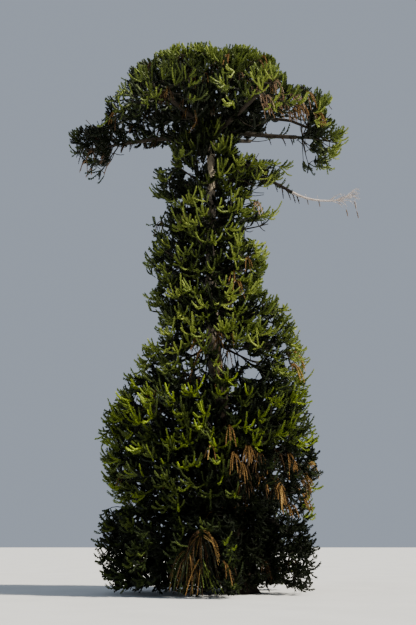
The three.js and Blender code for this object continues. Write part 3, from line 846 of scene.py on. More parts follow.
def pick_centre(space, centres, rand):
    """A spray's place: the loneliest of several tries, more often near the crown's surface."""
    tries = space.sample(rand((SPRAY_TRIES, 3)))
    tries[:, 2] += space.tier["overlap"] * (2 * rand(SPRAY_TRIES) - 1)
    tries = tries[space.holds(tries, SPRAY_MARGIN, space.tier["overlap"])]
    tries = tries[~in_gap(tries) & space.in_outline(tries)]
    tries = tries[space.hang(tries[:, 2]) * HANG_THINNING < rand(len(tries))]
    deep = space.depth(tries) > INNER_DEPTH
    wanted = deep if rand() < INNER_SHARE else ~deep
    if wanted.any():
        tries = tries[wanted]
    return loneliest(tries, centres) if len(tries) else None


def grow_sprays(space, branches, rand):
    """Sprays of shoots all through a mass, each on a twig of its own."""
    count = int(space.volume() * SPRAYS_PER_CUBIC_METRE * space.tier["density"])
    shares = np.linspace(FIRST_SPRING, LAST_SPRING, SPRING_POINTS)
    points = np.concatenate([curve_point(curve, shares) for curve in branches])
    centres = np.empty((0, 3))
    for _ in range(count):
        centre = pick_centre(space, centres, rand)
        if centre is None:
            continue
        centres = np.vstack([centres, centre])
        heading = unit(outward(space, centre) + space.tier["wander"] * (rand(3) - 0.5))
        hub = centre - heading * SPRAY_BACK
        behind = (hub - points) @ heading
        ahead = np.maximum(BEHIND_LEAST - behind, 0)
        root = points[int(np.argmin(np.linalg.norm(points - hub, axis=1) + AHEAD_COST * ahead))]
        bend = hub - heading * np.linalg.norm(hub - root) * TWIG_SWING
        twig = np.array([root, bend, hub])
        add_wood(twig, SPRAY_TWIG_RADIUS, TWIG_RADIUS)
        points = np.vstack([points, curve_point(twig, TWIG_SPRINGS)])
        grow_spray(space, twig, heading, rand)


def varied(numbers, spread):
    """Numbers from 0 to 1 become factors spread evenly round 1."""
    return 1 + spread * (numbers - 0.5)


def random_length(rand):
    return SHOOT_SHORTEST + (SHOOT_LONGEST - SHOOT_SHORTEST) * rand()


def grow_spray(space, twig, heading, rand):
    """Shoots that fan out of a twig's end, each with its own end turned up, or hanging if dead."""
    dead = space.tier["dead"]
    inner = float(space.depth(twig[2])) > INNER_DEPTH + INNER_LEEWAY
    count = SHOOTS_IN_SPRAY - (INNER_FEWER if inner else 0)
    size = (INNER_SIZE if inner else SHOOT_SIZE) * varied(rand(), SIZE_VARIETY)
    less_turn = 1 - STEEP_LESS * max(float(heading[2]), 0)
    side = unit(np.cross(heading, [0.0, 0.0, 1.0]))
    normal = np.cross(side, heading)
    start = rand() * 2 * math.pi
    withered = cell_noise(twig[2], 1) < (DEAD_MASS_SHARE if dead else dead_share(twig[2]))
    if withered:
        count -= WITHERED_FEWER
    for k in range(count):
        hangs = withered and rand() < (1 if dead else MIXED_DEAD)
        share = k / count
        root = curve_point(twig, 1 - SPRUNG_BACK * share * rand())
        lean = SPRAY_SPREAD * math.sqrt(share) * varied(rand(), LEAN_VARIETY)
        turn = start + GOLDEN_ANGLE * k
        across = side * math.cos(turn) + normal * math.sin(turn) * SPRAY_TILT
        way = unit(heading * math.cos(lean) + across * math.sin(lean))
        length = random_length(rand) * space.tier["length"]
        beyond = 0
        if inner:
            length *= INNER_LONG_BY
        elif hangs or rand() < LONG_SHARE:
            length *= LONG_BY
            beyond = LASH_REACH
        if hangs:
            shoot = hanging_shoot(root, way, length)
        else:
            turn_up = TURN_UP * varied(rand(), TURN_VARIETY) * less_turn
            shoot = upturned_shoot(root, way, length, turn_up)
        if not has_room(space, shoot, beyond):
            shoot = root + (shoot - root) * CUT_BACK
        if not has_room(space, shoot, beyond):
            continue
        shoot[:, 2] = np.maximum(shoot[:, 2], SHOOT_LOWEST)
        finish_shoot(space, shoot, hangs, size, DEAD_MASS_SHADE_DEPTH if dead else 0)


def has_room(space, shoot, beyond):
    """Whether a shoot keeps to its space, to the outline and out of the gaps."""
    if not space.holds(shoot[2], TIP_MARGIN, space.tier["overlap"], beyond):
        return False
    return space.in_outline(shoot[1:]).all() and not in_gap(shoot[1:]).any()


def upturned_shoot(root, way, length, turn_up):
    """A live shoot sets out along its way, and its end turns up."""
    bend = root + way * length * BEND_AT
    tip = root + way * length * TIP_AT
    bend[2] -= BEND_DOWN * length
    tip[2] += turn_up * length
    return np.array([root, bend, tip])


def hanging_shoot(root, way, length):
    """A dead shoot droops from where it springs."""
    bend = root + way * length * HANG_BEND_AT
    tip = root + way * length * HANG_TIP_AT
    tip[2] = root[2] - length * HANG_FALL
    return np.array([root, bend, tip])


def turn_about(i):
    """1 for every other mass of a ring and -1 between, so that neighbours don't spring level."""
    return 1 - 2 * (i % 2)


def grow_tier(tier):
    tier = {**MASS, **tier}
    height = tier["top"] - tier["foot"]
    for i in range(tier["masses"]):
        degrees = tier["turn"] + 360 * i / tier["masses"]
        direction = direction_name(degrees)
        mass = {**tier, "half_angle": 180 / tier["masses"], **tier.get(direction, {})}
        azimuth = math.radians(degrees)
        spring = tier["foot"] + (mass["spring"] + TIER_STAGGER * turn_about(i)) * height
        end = tier["foot"] + mass["tip"] * height
        space = Space(mass, azimuth)
        reach = min(float(space.reach_at(end, azimuth)), mass["end"])
        tip = place(reach * STEM_REACH, azimuth, end)
        stem = arch(place(0, 0, spring), tip, -STEM_DROOP)
        grow_mass(f"{tier['name']}_{direction}", space, stem)


# A thinner limb that shows above the one on the right, as distance and height
UPPER_LIMB = [(0.6, 16.1), (2.7, 17.1), (4.2, 15.6)]
UPPER_LIMB_RADII = (0.07, 0.045)

# A bare hooked twig that hangs from the dome's front
HOOK = [(-1.42, -2.45, 15.55), (-1.2, -2.5, 15.05), (-1.62, -2.45, 14.7)]


def grow_tufts(limb, count, tint):
    """Short shoots that stand or hang along a limb."""
    rand = np.random.default_rng(count).random
    for k in range(count):
        share = TUFTS_FROM + (1 - TUFTS_FROM) * (k + rand()) / count
        root = curve_point(limb, share)
        way = unit(curve_heading(limb, share) + TUFT_SPLAY * (rand(3) - 0.5))
        length = random_length(rand)
        if rand() < TUFTS_HANGING:
            add_shoot(hanging_shoot(root, way, length), "dead_dark", SHOOT_SIZE, DEAD_THICKNESS)
        else:
            add_shoot(upturned_shoot(root, way, length, TUFT_TURN), tint, SHOOT_SIZE)


def grow_limbed_mass(name, mass):
    azimuth = math.radians(mass["azimuth"])
    space = Space(mass, azimuth)
    end = place(mass["start"], azimuth, mass["limb_end"])
    if mass["heart_share"]:
        height = mass["limb_end"] - HEART_DROP
        mass["heart"] = place(mass["start"] * mass["heart_share"], azimuth, height)
    limb = arch(place(0, 0, mass["spring"]), end, mass["limb_rise"])
    limbs.append((limb, mass["limb_radius"] * LIMB_FULLNESS, mass["limb_radius"] * LIMB_END))
    grow_tufts(limb, mass["tufts"], "dark")
    onward = curve_heading(limb, 1.0)
    height = mass["tip_height"]
    tip = place(float(space.reach_at(height, azimuth)) * STEM_REACH, azimuth, height)
    bend = end + onward * np.linalg.norm(tip - end) * ONWARD
    grow_mass(name, space, np.array([end, bend, tip]))


def grow_rim():
    for i, (direction, changes) in enumerate(RIM_MASSES.items()):
        mass = {**RIM, **changes, "azimuth": 60 * i}
        mass["spring"] = LIMB_SPRING + LIMB_STAGGER * turn_about(i)
        grow_limbed_mass(f"umbrella_{direction}", mass)


def grow_low():
    for i, (direction, changes) in enumerate(LOW_MASSES.items()):
        mass = {**LOW, **changes}
        mass["spring"] += LOW_STAGGER * turn_about(i)
        grow_limbed_mass(f"low_mass_{direction}", mass)


def grow_crown_top():
    stem = arch(place(0, 0, TRUNK_TOP), place(0, 0, TREE_TOP), 0)
    grow_mass("crown_top", Space(CROWN_TOP, 0), stem)


# The dead limb, its fan of bare twigs and the tufts that hang from it: at which share, and how far
DEAD_ROOT = place(0, 0, 14.75)
DEAD_OVER = place(1.4, 0, 14.55)
DEAD_BEND = place(2.9, 0, 13.6)
DEAD_TIP = place(4.5, 0, 13.3)
DEAD_END = place(5.1, 0, 13.72)
DEAD_TUFTS = [(0.15, 0.12), (0.3, 0.16), (0.75, 0.6), (0.95, 0.45), (1.0, 0.85)]
DEAD_TUFT = np.array([0.05, 0.0, -0.26])
DEAD_TUFT_SIZE = 0.7
DEAD_TUFT_THICKNESS = 0.8
DEAD_BOUGH_TUFTS = 16
# How far the limb and its end keep the direction that they spring in
LIMB_ONWARD = 0.75
LIMB_TIP_ONWARD = 0.3
# The radii of its parts, at the root and at the tip
BOUGH_RADII = (0.08, 0.05)
LIMB_RADII = (0.05, 0.028)
LIMB_TIP_RADII = (0.026, 0.01)
STRING_RADII = (0.006, 0.004)
DEAD_TWIG_RADII = (0.013, 0.006)
SPUR_RADII = (0.008, 0.004)
# Its twigs: from which shares of the limb and of its end they spring, how long they are and how steep
DEAD_TWIGS = 20
DEAD_SPURS = 2
ON_LIMB_FROM = 0.8
ON_END_TO = 0.9
DEAD_TWIG_LEAST = 0.25
DEAD_TWIG_LONGER = 0.42
DEAD_TWIG_SLOPE = 1.6
DEAD_TWIGS_DOWN = 0.35
SPUR_LEAST = 0.12
SPUR_LONGER = 0.14
SPURS_FROM = 0.3
SPURS_OVER = 0.6


def grow_dead_limb():
    rand = np.random.default_rng(5).random

    def off_middle(spread):
        return spread * (rand() - 0.5)

    bough = np.array([DEAD_ROOT, DEAD_OVER, DEAD_BEND])
    limbs.append((bough, *BOUGH_RADII))
    grow_tufts(bough, DEAD_BOUGH_TUFTS, "middle")
    limb = np.array([DEAD_BEND, DEAD_BEND + curve_heading(bough, 1.0) * LIMB_ONWARD, DEAD_TIP])
    add_wood(limb, *LIMB_RADII, True)
    end_bend = DEAD_TIP + curve_heading(limb, 1.0) * LIMB_TIP_ONWARD
    limb_end = np.array([DEAD_TIP, end_bend, DEAD_END])
    add_wood(limb_end, *LIMB_TIP_RADII, True)
    for share, hang in DEAD_TUFTS:
        top = curve_point(np.array([DEAD_BEND, DEAD_TIP, DEAD_END]), share)
        foot = top + np.array([0.05, off_middle(0.1), -hang])
        add_wood(arch(top, foot, 0.08), *STRING_RADII, True)
        tuft = arch(foot, foot + DEAD_TUFT, 0.1)
        add_shoot(tuft, "dead_brown", DEAD_TUFT_SIZE, DEAD_TUFT_THICKNESS)
    for i in range(DEAD_TWIGS):
        share = i / DEAD_TWIGS
        if i % 2:
            start = curve_point(limb_end, ON_END_TO * share)
        else:
            start = curve_point(limb, ON_LIMB_FROM + (1 - ON_LIMB_FROM) * share)
        reach = DEAD_TWIG_LEAST + DEAD_TWIG_LONGER * rand() * (1 - share)
        slope = DEAD_TWIG_SLOPE * (rand() - DEAD_TWIGS_DOWN)
        end = start + reach * unit(np.array([1.0, off_middle(0.6), slope]))
        twig = arch(start, end, off_middle(0.2))
        add_wood(twig, *DEAD_TWIG_RADII, True)
        for _ in range(DEAD_SPURS):
            spot = curve_point(twig, SPURS_FROM + SPURS_OVER * rand())
            length = SPUR_LEAST + SPUR_LONGER * rand()
            spur = np.array([length, off_middle(0.16), off_middle(0.4)])
            add_wood(arch(spot, spot + spur, 0.1), *SPUR_RADII, True)


# The tent of drooping branches at the foot of the tree's front: how many strands each group has, where
# they spring, how far apart their feet stand, how high their feet and bends are, and their tints. The
# near-black tints, deep and dead_dark, are painted shade.
TENT_TOP = (-1.17, -2.55, 1.85)
TENT_RIDGE = (-1.75, -2.5, 1.0)
TENT_KNOT = (-1.2, -2.6, 1.05)
TENT_STEM = (1.3, 2.1)
TENT_DEPTH = 0.5
TENT_SPREAD = 0.15
TENT_SIZE = 0.7
TENT_FRONT = 0.7
TENT_STRANDS = [
    (30, TENT_RIDGE, (-2.15, -1.15), (0.1, 0.9), 0.8, "dead_dark dark dead_brown dead_dark deep"),
    (10, TENT_TOP, (-1.6, -1.0), (0.5, 1.2), 0.85, "dead_dark dead_brown deep"),
    (4, TENT_TOP, (-0.72, -0.6), (0.85, 1.2), 1.05, "dead_brown dead_pale"),
    (14, TENT_TOP, (-1.2, -0.55), (0.1, 1.0), 0.8, "deep dead_dark deep"),
    (7, TENT_KNOT, (-1.1, -0.45), (0.1, 0.4), 0.55, "olive middle"),
    (9, TENT_KNOT, (-1.8, -1.1), (0.08, 0.3), 0.6, "dead_dark middle dead_brown dark"),
]


def grow_tent():
    rand = np.random.default_rng(9).random
    top = np.array(TENT_TOP)
    distance, height = TENT_STEM
    root = place(distance, math.radians(LOW_FRONT), height)
    add_wood(np.array([root, top + np.array([0.1, 0.5, 0.4]), top]), STEM_RADIUS, BRANCH_RADIUS)
    for count, spring, feet, heights, bend_height, tints in TENT_STRANDS:
        tints = tints.split()
        for k in range(count):
            share = rand(6)
            along = share[5] if spring == TENT_RIDGE else 1
            start = top + (np.array(spring) - top) * along + TENT_SPREAD * (share[:3] - 0.5)
            x = feet[0] + (feet[1] - feet[0]) * (k + share[0]) / count
            y = spring[1] + TENT_DEPTH * (share[3] - TENT_FRONT)
            foot = np.array([x, y, heights[0] + (heights[1] - heights[0]) * share[4] ** 2])
            bend = start + (foot - start) * (0.55 + 0.35 * share[1])
            bend[2] = foot[2] + (start[2] - foot[2]) * bend_height * (0.8 + 0.3 * share[2])
            add_shoot(np.array([start, bend, foot]), tints[k % len(tints)], TENT_SIZE, TENT_SIZE)


def grow_ring(tier, seed):
    stems = []
    height = tier["top"] - tier["foot"]
    for i in range(RING_STEMS):
        azimuth = GOLDEN_ANGLE * i
        spring = tier["foot"] + height * (RING_FROM + (1 - RING_FROM) * i / RING_STEMS)
        end_height = max(spring - RING_FALL * height, tier["foot"] + RING_LOWEST)
        end = place(tier["end"] * RING_LENGTH, azimuth, end_height)
        stem = arch(place(0, 0, spring), end, -STEM_DROOP)
        add_wood(stem, BRANCH_RADIUS, TWIG_RADIUS)
        stems.append(stem)
    grow_sprays(Space(tier, 0.0), stems, np.random.default_rng(seed).random)


# Meshes from arrays
def make_object(name, vertices, faces, material, smooth):
    mesh = bpy.data.meshes.new(name)
    mesh.vertices.add(len(vertices))
    mesh.vertices.foreach_set("co", np.asarray(vertices, np.float32).ravel())
    sides = faces.shape[1]
    mesh.loops.add(faces.size)
    mesh.loops.foreach_set("vertex_index", faces.astype(np.int32).ravel())
    mesh.polygons.add(len(faces))
    mesh.polygons.foreach_set("loop_start", np.arange(0, faces.size, sides, dtype=np.int32))
    mesh.polygons.foreach_set("use_smooth", np.full(len(faces), smooth))
    mesh.update(calc_edges=True)
    mesh.materials.append(material)
    piece = bpy.data.objects.new(name, mesh)
    bpy.context.scene.collection.objects.link(piece)
    return piece


def frames_along(curves, owner, t):
    """The point, heading and two directions across, for shares t along the curves of owner."""
    own = curves[owner].swapaxes(0, 1)
    along = curve_heading(own, t)
    steep = np.abs(unit(own[2] - own[0])[:, 2:]) >= STEEP
    side = unit(np.cross(along, np.where(steep, [[1.0, 0.0, 0.0]], [[0.0, 0.0, 1.0]])))
    return curve_point(own, t), along, side, np.cross(side, along)


def around(side, normal, angle):
    return side * np.cos(angle)[..., None] + normal * np.sin(angle)[..., None]


def tube_arrays(curves, roots, tips, steps, sides):
    """Tapering tubes that end in a point, as vertices and triangles."""
    count = len(curves)
    owner = np.repeat(np.arange(count), steps + 1)
    t = np.tile(np.linspace(0, 1, steps + 1), count)
    point, _, side, normal = frames_along(curves, owner, t)
    radius = roots[owner] + (tips[owner] - roots[owner]) * t
    angle = np.arange(sides) * 2 * math.pi / sides
    across = around(side[:, None], normal[:, None], angle[None])
    rings = point[:, None] + across * radius[:, None, None]
    vertices = np.concatenate([rings.reshape(count, -1, 3), curves[:, 2:]], axis=1)
    faces = []
    for a in range(steps * sides):
        b = a + 1 if (a + 1) % sides else a + 1 - sides
        faces.append([a, b, b + sides])
        faces.append([a, b + sides, a + sides])
    top = steps * sides
    for k in range(sides):
        faces.append([top + k, top + (k + 1) % sides, top + sides])
    return repeated(vertices, faces)


def repeated(vertices, faces):
    """The vertices of many alike shapes, and one shape's faces for each of them."""
    count, stride, _ = vertices.shape
    offsets = (np.arange(count) * stride)[:, None, None]
    return vertices.reshape(-1, 3), (np.array(faces)[None] + offsets).reshape(-1, 3)


def leaf_arrays(curves, sizes, thickness, seed):
    """Pointed leaves in whorls along shoots, each a kite folded along its midrib."""
    rand = np.random.default_rng(seed).random
    lengths = np.array([curve_length(curve, 8) for curve in curves])
    whorls = np.maximum((lengths / (WHORL_STEP * sizes)).round().astype(int), WHORLS_LEAST)
    leaves = whorls * LEAVES_IN_WHORL
    owner = np.repeat(np.arange(len(curves)), leaves)
    index = np.arange(len(owner)) - np.repeat(np.cumsum(leaves) - leaves, leaves)
    whorl = index // LEAVES_IN_WHORL
    t = (whorl + LEAF_JITTER * (1 + rand(len(owner)))) / (whorls[owner] + 0.9)
    t = np.clip(t, 0, 1)
    point, along, side, normal = frames_along(curves, owner, t)
    turn = whorl * WHORL_TURN + index % LEAVES_IN_WHORL * (2 * math.pi / LEAVES_IN_WHORL) + owner * 1.7
    turn = turn + LEAF_JITTER * (rand(len(owner)) - 0.5)
    out = around(side, normal, turn)
    tangent = np.cross(along, out)
    near_tip = smooth_step((t - TIP_FROM) / (1 - TIP_FROM))
    spread = LEAF_SPREAD * (1 - TIP_CLOSING * near_tip) * varied(rand(len(owner)), SPREAD_VARIETY)
    size = sizes[owner] * varied(rand(len(owner)), SIZE_VARIETY)
    thick = thickness[owner]
    length = (LEAF_LENGTH * size * (1 - TIP_SHORTENING * near_tip))[:, None]
    half_width = (LEAF_WIDTH * size * thick / 2)[:, None]
    core = (CORE_RADIUS * size * thick * (1 - TIP_THINNING * near_tip))[:, None]
    heading = along * np.cos(spread)[:, None] + out * (np.sin(spread) * thick)[:, None]
    base = point + out * core * LEAF_SINK
    middle = base + heading * length * LEAF_MIDDLE - np.cross(tangent, heading) * LEAF_FOLD
    edge = tangent * half_width
    vertices = np.stack([base, middle - edge, base + heading * length, middle + edge], axis=1)
    vertices[..., 2] = np.maximum(vertices[..., 2], LEAVES_LOWEST)
    return repeated(vertices, [[0, 1, 2], [0, 2, 3]])


# Materials
def new_material(name, roughness):
    material = bpy.data.materials.new(name)
    material.use_nodes = True
    shader = material.node_tree.nodes["Principled BSDF"]
    shader.inputs["Roughness"].default_value = roughness
    shader.inputs["Specular IOR Level"].default_value = 0.15
    return material, material.node_tree, shader


def add_node(tree, kind, inputs, **settings):
    """A node with its settings. Its inputs are values or the outputs of other nodes."""
    node = tree.nodes.new(f"ShaderNode{kind}")
    for setting, value in settings.items():
        setattr(node, setting, value)
    for name, value in inputs.items():
        if isinstance(value, bpy.types.NodeSocket):
            tree.links.new(value, node.inputs[name])
        else:
            node.inputs[name].default_value = value
    return node.outputs


def noise_share(tree, where, scale, detail):
    inputs = {"Vector": where, "Scale": scale, "Detail": detail}
    return add_node(tree, "TexNoise", inputs)["Fac"]


def map_range(tree, value, low, high, to_low, to_high):
    inputs = {"Value": value, "From Min": low, "From Max": high, "To Min": to_low, "To Max": to_high}
    return add_node(tree, "MapRange", inputs)["Result"]


def mix_colours(tree, share, first, second, blend="MIX"):
    inputs = {"Factor": share, "A": first, "B": second}
    return add_node(tree, "Mix", inputs, data_type="RGBA", blend_type=blend)["Result"]


MOTTLE_RAMP = (0.35, 0.65)


def mottled_colour(tree, noise, low, high):
    """Colour that wanders between two tints."""
    colour = add_node(tree, "ValToRGB", {"Fac": noise})["Color"]
    first, last = colour.node.color_ramp.elements
    first.position, last.position = MOTTLE_RAMP
    first.color = (*low, 1)
    last.color = (*high, 1)
    return colour


def add_bump(tree, shader, height, strength, distance):
    inputs = {"Height": height, "Strength": strength, "Distance": distance}
    tree.links.new(add_node(tree, "Bump", inputs)["Normal"], shader.inputs["Normal"])


def leaf_material(name, colour, contrast, roughness):
    material, tree, shader = new_material(name, roughness)
    low = tuple(channel * (1 - contrast) for channel in colour)
    high = tuple(min(channel * (1 + contrast), 1) for channel in colour)
    where = add_node(tree, "TexCoord", {})["Object"]
    noise = noise_share(tree, where, 14.0, 3.0)
    tree.links.new(mottled_colour(tree, noise, low, high), shader.inputs["Base Color"])
    add_bump(tree, shader, noise, 0.25, 0.004)
    return material


# How cracks, patches of painted sunlight and painted shade near the ground set in on bark: the range of
# their measure, and that of their share
CRACK_RANGE = (0.0, 0.12, 0.35, 1.0)
SUNLIT_PATCH_RANGE = (0.42, 0.58, 0.5, 1.0)
FOOT_SHADE_RANGE = (10.0, 6.0, 0.0, 0.95)
SUNLIT_HEIGHTS = (13.2, 14.4)
SUNLIT_PATCH_SCALE = 3.2
PLATE_SCALE = 2.2
# Each bark's darkest colour, mixed in near the ground, is painted shade; its pale colour, mixed in high
# up, is painted sunlight.
BARKS = dict(
    bark=dict(
        low=(0.13, 0.105, 0.08), high=(0.36, 0.3, 0.23), foot_shade=(0.012, 0.007, 0.004),
        pale=(0.8, 0.68, 0.48), sunlit_peak=0.95, scale=5.0,
    ),
    # The branch bark's own dark colours are darkened further as painted shade, so that limbs under the
    # crown read as shaded.
    branch_bark=dict(
        low=(0.014, 0.011, 0.008), high=(0.045, 0.036, 0.026), foot_shade=(0.008, 0.007, 0.005),
        pale=(0.06, 0.05, 0.038), sunlit_peak=0.3, scale=9.0,
    ),
    dead_bark=dict(
        low=(0.36, 0.3, 0.27), high=(0.62, 0.54, 0.5), foot_shade=(0.2, 0.17, 0.14),
        pale=(0.62, 0.54, 0.5), sunlit_peak=0.3, scale=11.0,
    ),
)


def bark_material(name, low, high, foot_shade, pale, sunlit_peak, scale):
    """Bark in plates with dark cracks, painted shade near the ground and patches of painted sunlight near
    the top.
    """
    material, tree, shader = new_material(name, 0.92)
    where = add_node(tree, "TexCoord", {})["Object"]
    height = add_node(tree, "SeparateXYZ", {"Vector": where})["Z"]
    stretch = {"Vector": where, "Scale": (1.0, 1.0, PLATE_SCALE)}
    plate_inputs = {"Vector": add_node(tree, "Mapping", stretch)["Vector"], "Scale": scale * PLATE_SCALE}
    plates = add_node(tree, "TexVoronoi", plate_inputs, feature="DISTANCE_TO_EDGE")["Distance"]
    cracks = map_range(tree, plates, *CRACK_RANGE)
    colour = mottled_colour(tree, noise_share(tree, where, scale, 6.0), low, high)
    colour = mix_colours(tree, 1.0, colour, cracks, "MULTIPLY")
    # painted sunlight: pale patches high on the trunk and limbs
    sunlit_reach = map_range(tree, height, *SUNLIT_HEIGHTS, 0.0, sunlit_peak)
    sunlit_patches = map_range(tree, noise_share(tree, where, SUNLIT_PATCH_SCALE, 2.0), *SUNLIT_PATCH_RANGE)
    sunlit_share = add_node(tree, "Math", {0: sunlit_reach, 1: sunlit_patches}, operation="MULTIPLY")["Value"]
    colour = mix_colours(tree, sunlit_share, colour, (*pale, 1))
    # painted shade: the bark turns near black towards the ground
    foot_shade_share = map_range(tree, height, *FOOT_SHADE_RANGE)
    colour = mix_colours(tree, foot_shade_share, colour, (*foot_shade, 1))
    tree.links.new(colour, shader.inputs["Base Color"])
    add_bump(tree, shader, cracks, 0.6, 0.01)
    return material


# The trunk with its relief
TRUNK_SIDES = 72
TRUNK_RING = 0.055
PLATE_ACROSS = 0.13
PLATE_UP = 0.085
CRACK_WIDTH = 0.3
CRACK_DEPTH = 0.016
SCAR_STEP = 0.31
SCAR_DEPTH = 0.01
SCARS_ABOVE = 0.5
SWELLING = 0.012
LEAST_RELIEF = 0.3
RING_CROWDING = 1.1


def plate_edges(u, v, seed):
    """How near each place is to the edge of its bark plate, from 0 at the edge."""
    cells_round = int(round(2 * math.pi * TRUNK_RADIUS / PLATE_ACROSS))
    cu = u / (2 * math.pi) * cells_round
    cv = v / PLATE_UP
    nearest = np.full(u.shape, 9.0)
    second = np.full(u.shape, 9.0)
    for du in (-1, 0, 1):
        for dv in (-1, 0, 1):
            gu = np.floor(cu) + du
            gv = np.floor(cv) + dv
            key = np.mod(gu, cells_round) * 12.9898 + gv * 78.233 + seed
            ju = np.mod(np.sin(key) * SCRAMBLE, 1)
            jv = np.mod(np.sin(key + 17.3) * 24634.6345, 1)
            gap = np.hypot(gu + ju - cu, gv + jv - cv)
            closer = gap < nearest
            second = np.where(closer, nearest, np.minimum(second, gap))
            nearest = np.where(closer, gap, nearest)
    return second - nearest


def make_trunk(material):
    rings = int(TRUNK_TOP / TRUNK_RING)
    ring, k = np.meshgrid(np.arange(rings + 1), np.arange(TRUNK_SIDES), indexing="ij")
    z = TRUNK_TOP * (ring / rings) ** RING_CROWDING
    angle = k * 2 * math.pi / TRUNK_SIDES
    lobe = BUTTRESS_DEPTH * np.cos(BUTTRESSES * angle) * np.exp(-z / FLARE_HEIGHT)
    radius = trunk_radius(z) * (1 + lobe)
    edges = np.clip(plate_edges(angle, z, 3.0) / CRACK_WIDTH, 0, 1)
    wander = 0.03 * np.sin(3 * angle + 2.1 * z) + 0.02 * np.sin(7 * angle - 1.3 * z)
    scars = np.abs(np.sin((z + wander) * math.pi / SCAR_STEP)) ** 0.5
    relief = -CRACK_DEPTH * (1 - edges) - SCAR_DEPTH * (1 - scars) * (z > SCARS_ABOVE)
    relief = relief + SWELLING * np.sin(2 * angle + 0.9 * z) * np.sin(1.7 * z + angle)
    relief = relief * np.clip(radius / TRUNK_RADIUS, LEAST_RELIEF, 1)
    radius = radius + relief
    x = trunk_centre(z) + radius * np.cos(angle)
    vertices = np.stack([x, radius * np.sin(angle), z], axis=-1).reshape(-1, 3)
    a = ring[:-1] * TRUNK_SIDES + k[:-1]
    b = ring[:-1] * TRUNK_SIDES + (k[:-1] + 1) % TRUNK_SIDES
    faces = np.stack([a, b, b + TRUNK_SIDES, a + TRUNK_SIDES], axis=-1).reshape(-1, 4)
    add_piece("trunk_bark", vertices, faces, material, ["trunk"], True)


def add_piece(name, vertices, faces, material, replaced, smooth=False):
    piece = make_object(name, vertices, faces, material, smooth)
    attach(piece, "root")
    if replaced:
        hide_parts(*replaced)


MOST_TRIANGLES = 190000
WOOD_NODES = ("limb_", "low_bough_", "dead_limb_bough")
BARE_NODES = ("dead_limb", "dead_limb_twigs")
DEAD_MASSES = ("skirt_front_right",)


def add_leaf_pieces():
    """Leaves and their shoots' cores, each tint apart. A slot's first piece stands for its masses."""
    masses = [name for name in frame["nodes"] if not name.startswith(("trunk", "dead_", *WOOD_NODES))]
    waiting = {
        "dead_foliage": [name for name in masses if name in DEAD_MASSES],
        "foliage": [name for name in masses if name not in DEAD_MASSES],
    }
    for n, (tint, colour) in enumerate(LEAF_COLOURS.items()):
        group = [shoot for shoot in shoots if shoot[1] == tint]
        if not group:
            continue
        dead = tint.startswith("dead")
        slot = "dead_foliage" if dead else "foliage"
        material = leaf_material(f"leaf_{tint}", colour, 0.22, 0.85 if dead else 0.5)
        curves, _, sizes, thickness = (np.array(values) for values in zip(*group))
        vertices, faces = leaf_arrays(curves, sizes, thickness, n)
        parts = math.ceil(len(faces) / MOST_TRIANGLES)
        leaves = len(faces) // 2
        for part in range(parts):
            first = leaves * part // parts
            last = leaves * (part + 1) // parts
            own = vertices[first * 4 : last * 4]
            own_faces = faces[first * 2 : last * 2] - first * 4
            name = f"leaves_{tint}_{part + 1}"
            add_piece(name, own, own_faces, material, waiting.pop(slot, []))
        radius = CORE_RADIUS * sizes * thickness
        vertices, faces = tube_arrays(curves, radius, radius * CORE_TAPER, 2, 3)
        add_piece(f"twigs_{tint}", vertices, faces, material, [])


def add_wood_piece(name, items, material, steps, sides, replaced=()):
    curves, roots, tips = (np.array(values) for values in list(zip(*items))[:3])
    vertices, faces = tube_arrays(curves, roots, tips, steps, sides)
    add_piece(name, vertices, faces, material, replaced)


def add_wood_pieces(bark, dead_bark):
    dead = [item for item in wood if item[3]]
    thick = [item for item in wood if not item[3] and item[1] >= BRANCH_RADIUS]
    thin = [item for item in wood if not item[3] and item[1] < BRANCH_RADIUS]
    carried = [name for name in frame["nodes"] if name.startswith(WOOD_NODES)]
    add_wood_piece("branches", thick, bark, 5, 5)
    add_wood_piece("spray_twigs", thin, bark, 3, 3)
    add_wood_piece("dead_branches", dead, dead_bark, 6, 5, BARE_NODES)
    add_wood_piece("limbs", limbs, bark, 24, 14, carried)


# Floor, light and camera
FLOOR_HALF = 200.0
FLOOR_DROP = 0.002


def add_floor():
    corners = [[-1, -1, 0], [1, -1, 0], [1, 1, 0], [-1, 1, 0]]
    material, tree, shader = new_material("pale_floor", 0.9)
    noise = noise_share(tree, add_node(tree, "TexCoord", {})["Object"], 0.5, 2.0)
    colour = mottled_colour(tree, noise, (0.6, 0.6, 0.59), (0.64, 0.64, 0.63))
    tree.links.new(colour, shader.inputs["Base Color"])
    vertices = FLOOR_HALF * np.array(corners)
    floor = make_object("floor", vertices, np.array([[0, 1, 2, 3]]), material, False)
    floor.location.z = -FLOOR_DROP


SKY_COLOUR = (0.74, 0.84, 1.0, 1)
SKY_STRENGTH = 0.44

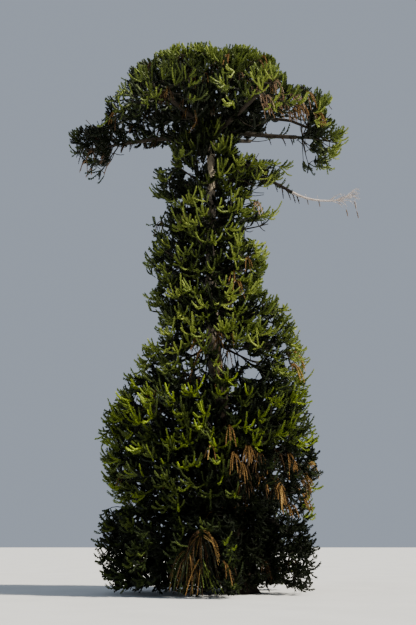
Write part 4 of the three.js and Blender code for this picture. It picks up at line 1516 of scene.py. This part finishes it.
# The key and fill lights: turn in degrees, strength, angular size in degrees and colour
LIGHTS = [
    ("key", (51, 0, 68), 10.0, 4, (1.0, 0.94, 0.82)),
    ("fill", (62, 0, -48), 0.4, 40, (0.55, 0.75, 1.0)),
]


def add_light():
    world = bpy.data.worlds.new("studio")
    bpy.context.scene.world = world
    world.use_nodes = True
    background = world.node_tree.nodes["Background"]
    background.inputs["Color"].default_value = SKY_COLOUR
    background.inputs["Strength"].default_value = SKY_STRENGTH
    for name, turn, energy, size, colour in LIGHTS:
        light = bpy.data.lights.new(name, "SUN")
        light.energy = energy
        light.angle = math.radians(size)
        light.color = colour
        lamp = bpy.data.objects.new(name, light)
        lamp.rotation_euler = tuple(math.radians(value) for value in turn)
        bpy.context.scene.collection.objects.link(lamp)


CAMERA_TILT = 14.75
LENS = 50
SENSOR_WIDTH = 36


def add_camera():
    data = bpy.data.cameras.new("camera")
    data.lens = LENS
    data.sensor_width = SENSOR_WIDTH
    data.sensor_fit = "AUTO"
    data.clip_end = 1000
    camera = bpy.data.objects.new("camera", data)
    camera.location = VIEW_PLACE
    camera.rotation_euler = (math.radians(90 + CAMERA_TILT), 0, 0)
    bpy.context.scene.collection.objects.link(camera)
    bpy.context.scene.camera = camera


add_camera()
add_floor()
add_light()
grow_rim()
upper_limb = np.array([place(r, 0, z) for r, z in UPPER_LIMB])
add_wood(upper_limb, *UPPER_LIMB_RADII)
grow_dead_limb()
grow_low()
grow_tent()
for one in TIERS:
    grow_tier(one)
grow_crown_top()
grow_ring(COLLAR, 3)
grow_ring(SKIRT_HEART, 4)
add_shoot(np.array(HOOK), "dead_brown", 0.5, 0.5)
bark, branch_bark, dead_bark = (bark_material(name, **look) for name, look in BARKS.items())
make_trunk(bark)
add_wood_pieces(branch_bark, dead_bark)
add_leaf_pieces()

shown = [o for o in bpy.data.objects if o.get("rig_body") and "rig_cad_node" not in o]
triangles = sum(len(polygon.vertices) - 2 for o in shown for polygon in o.data.polygons)
print("triangles in the dressed part:", triangles, "shoots:", len(shoots))
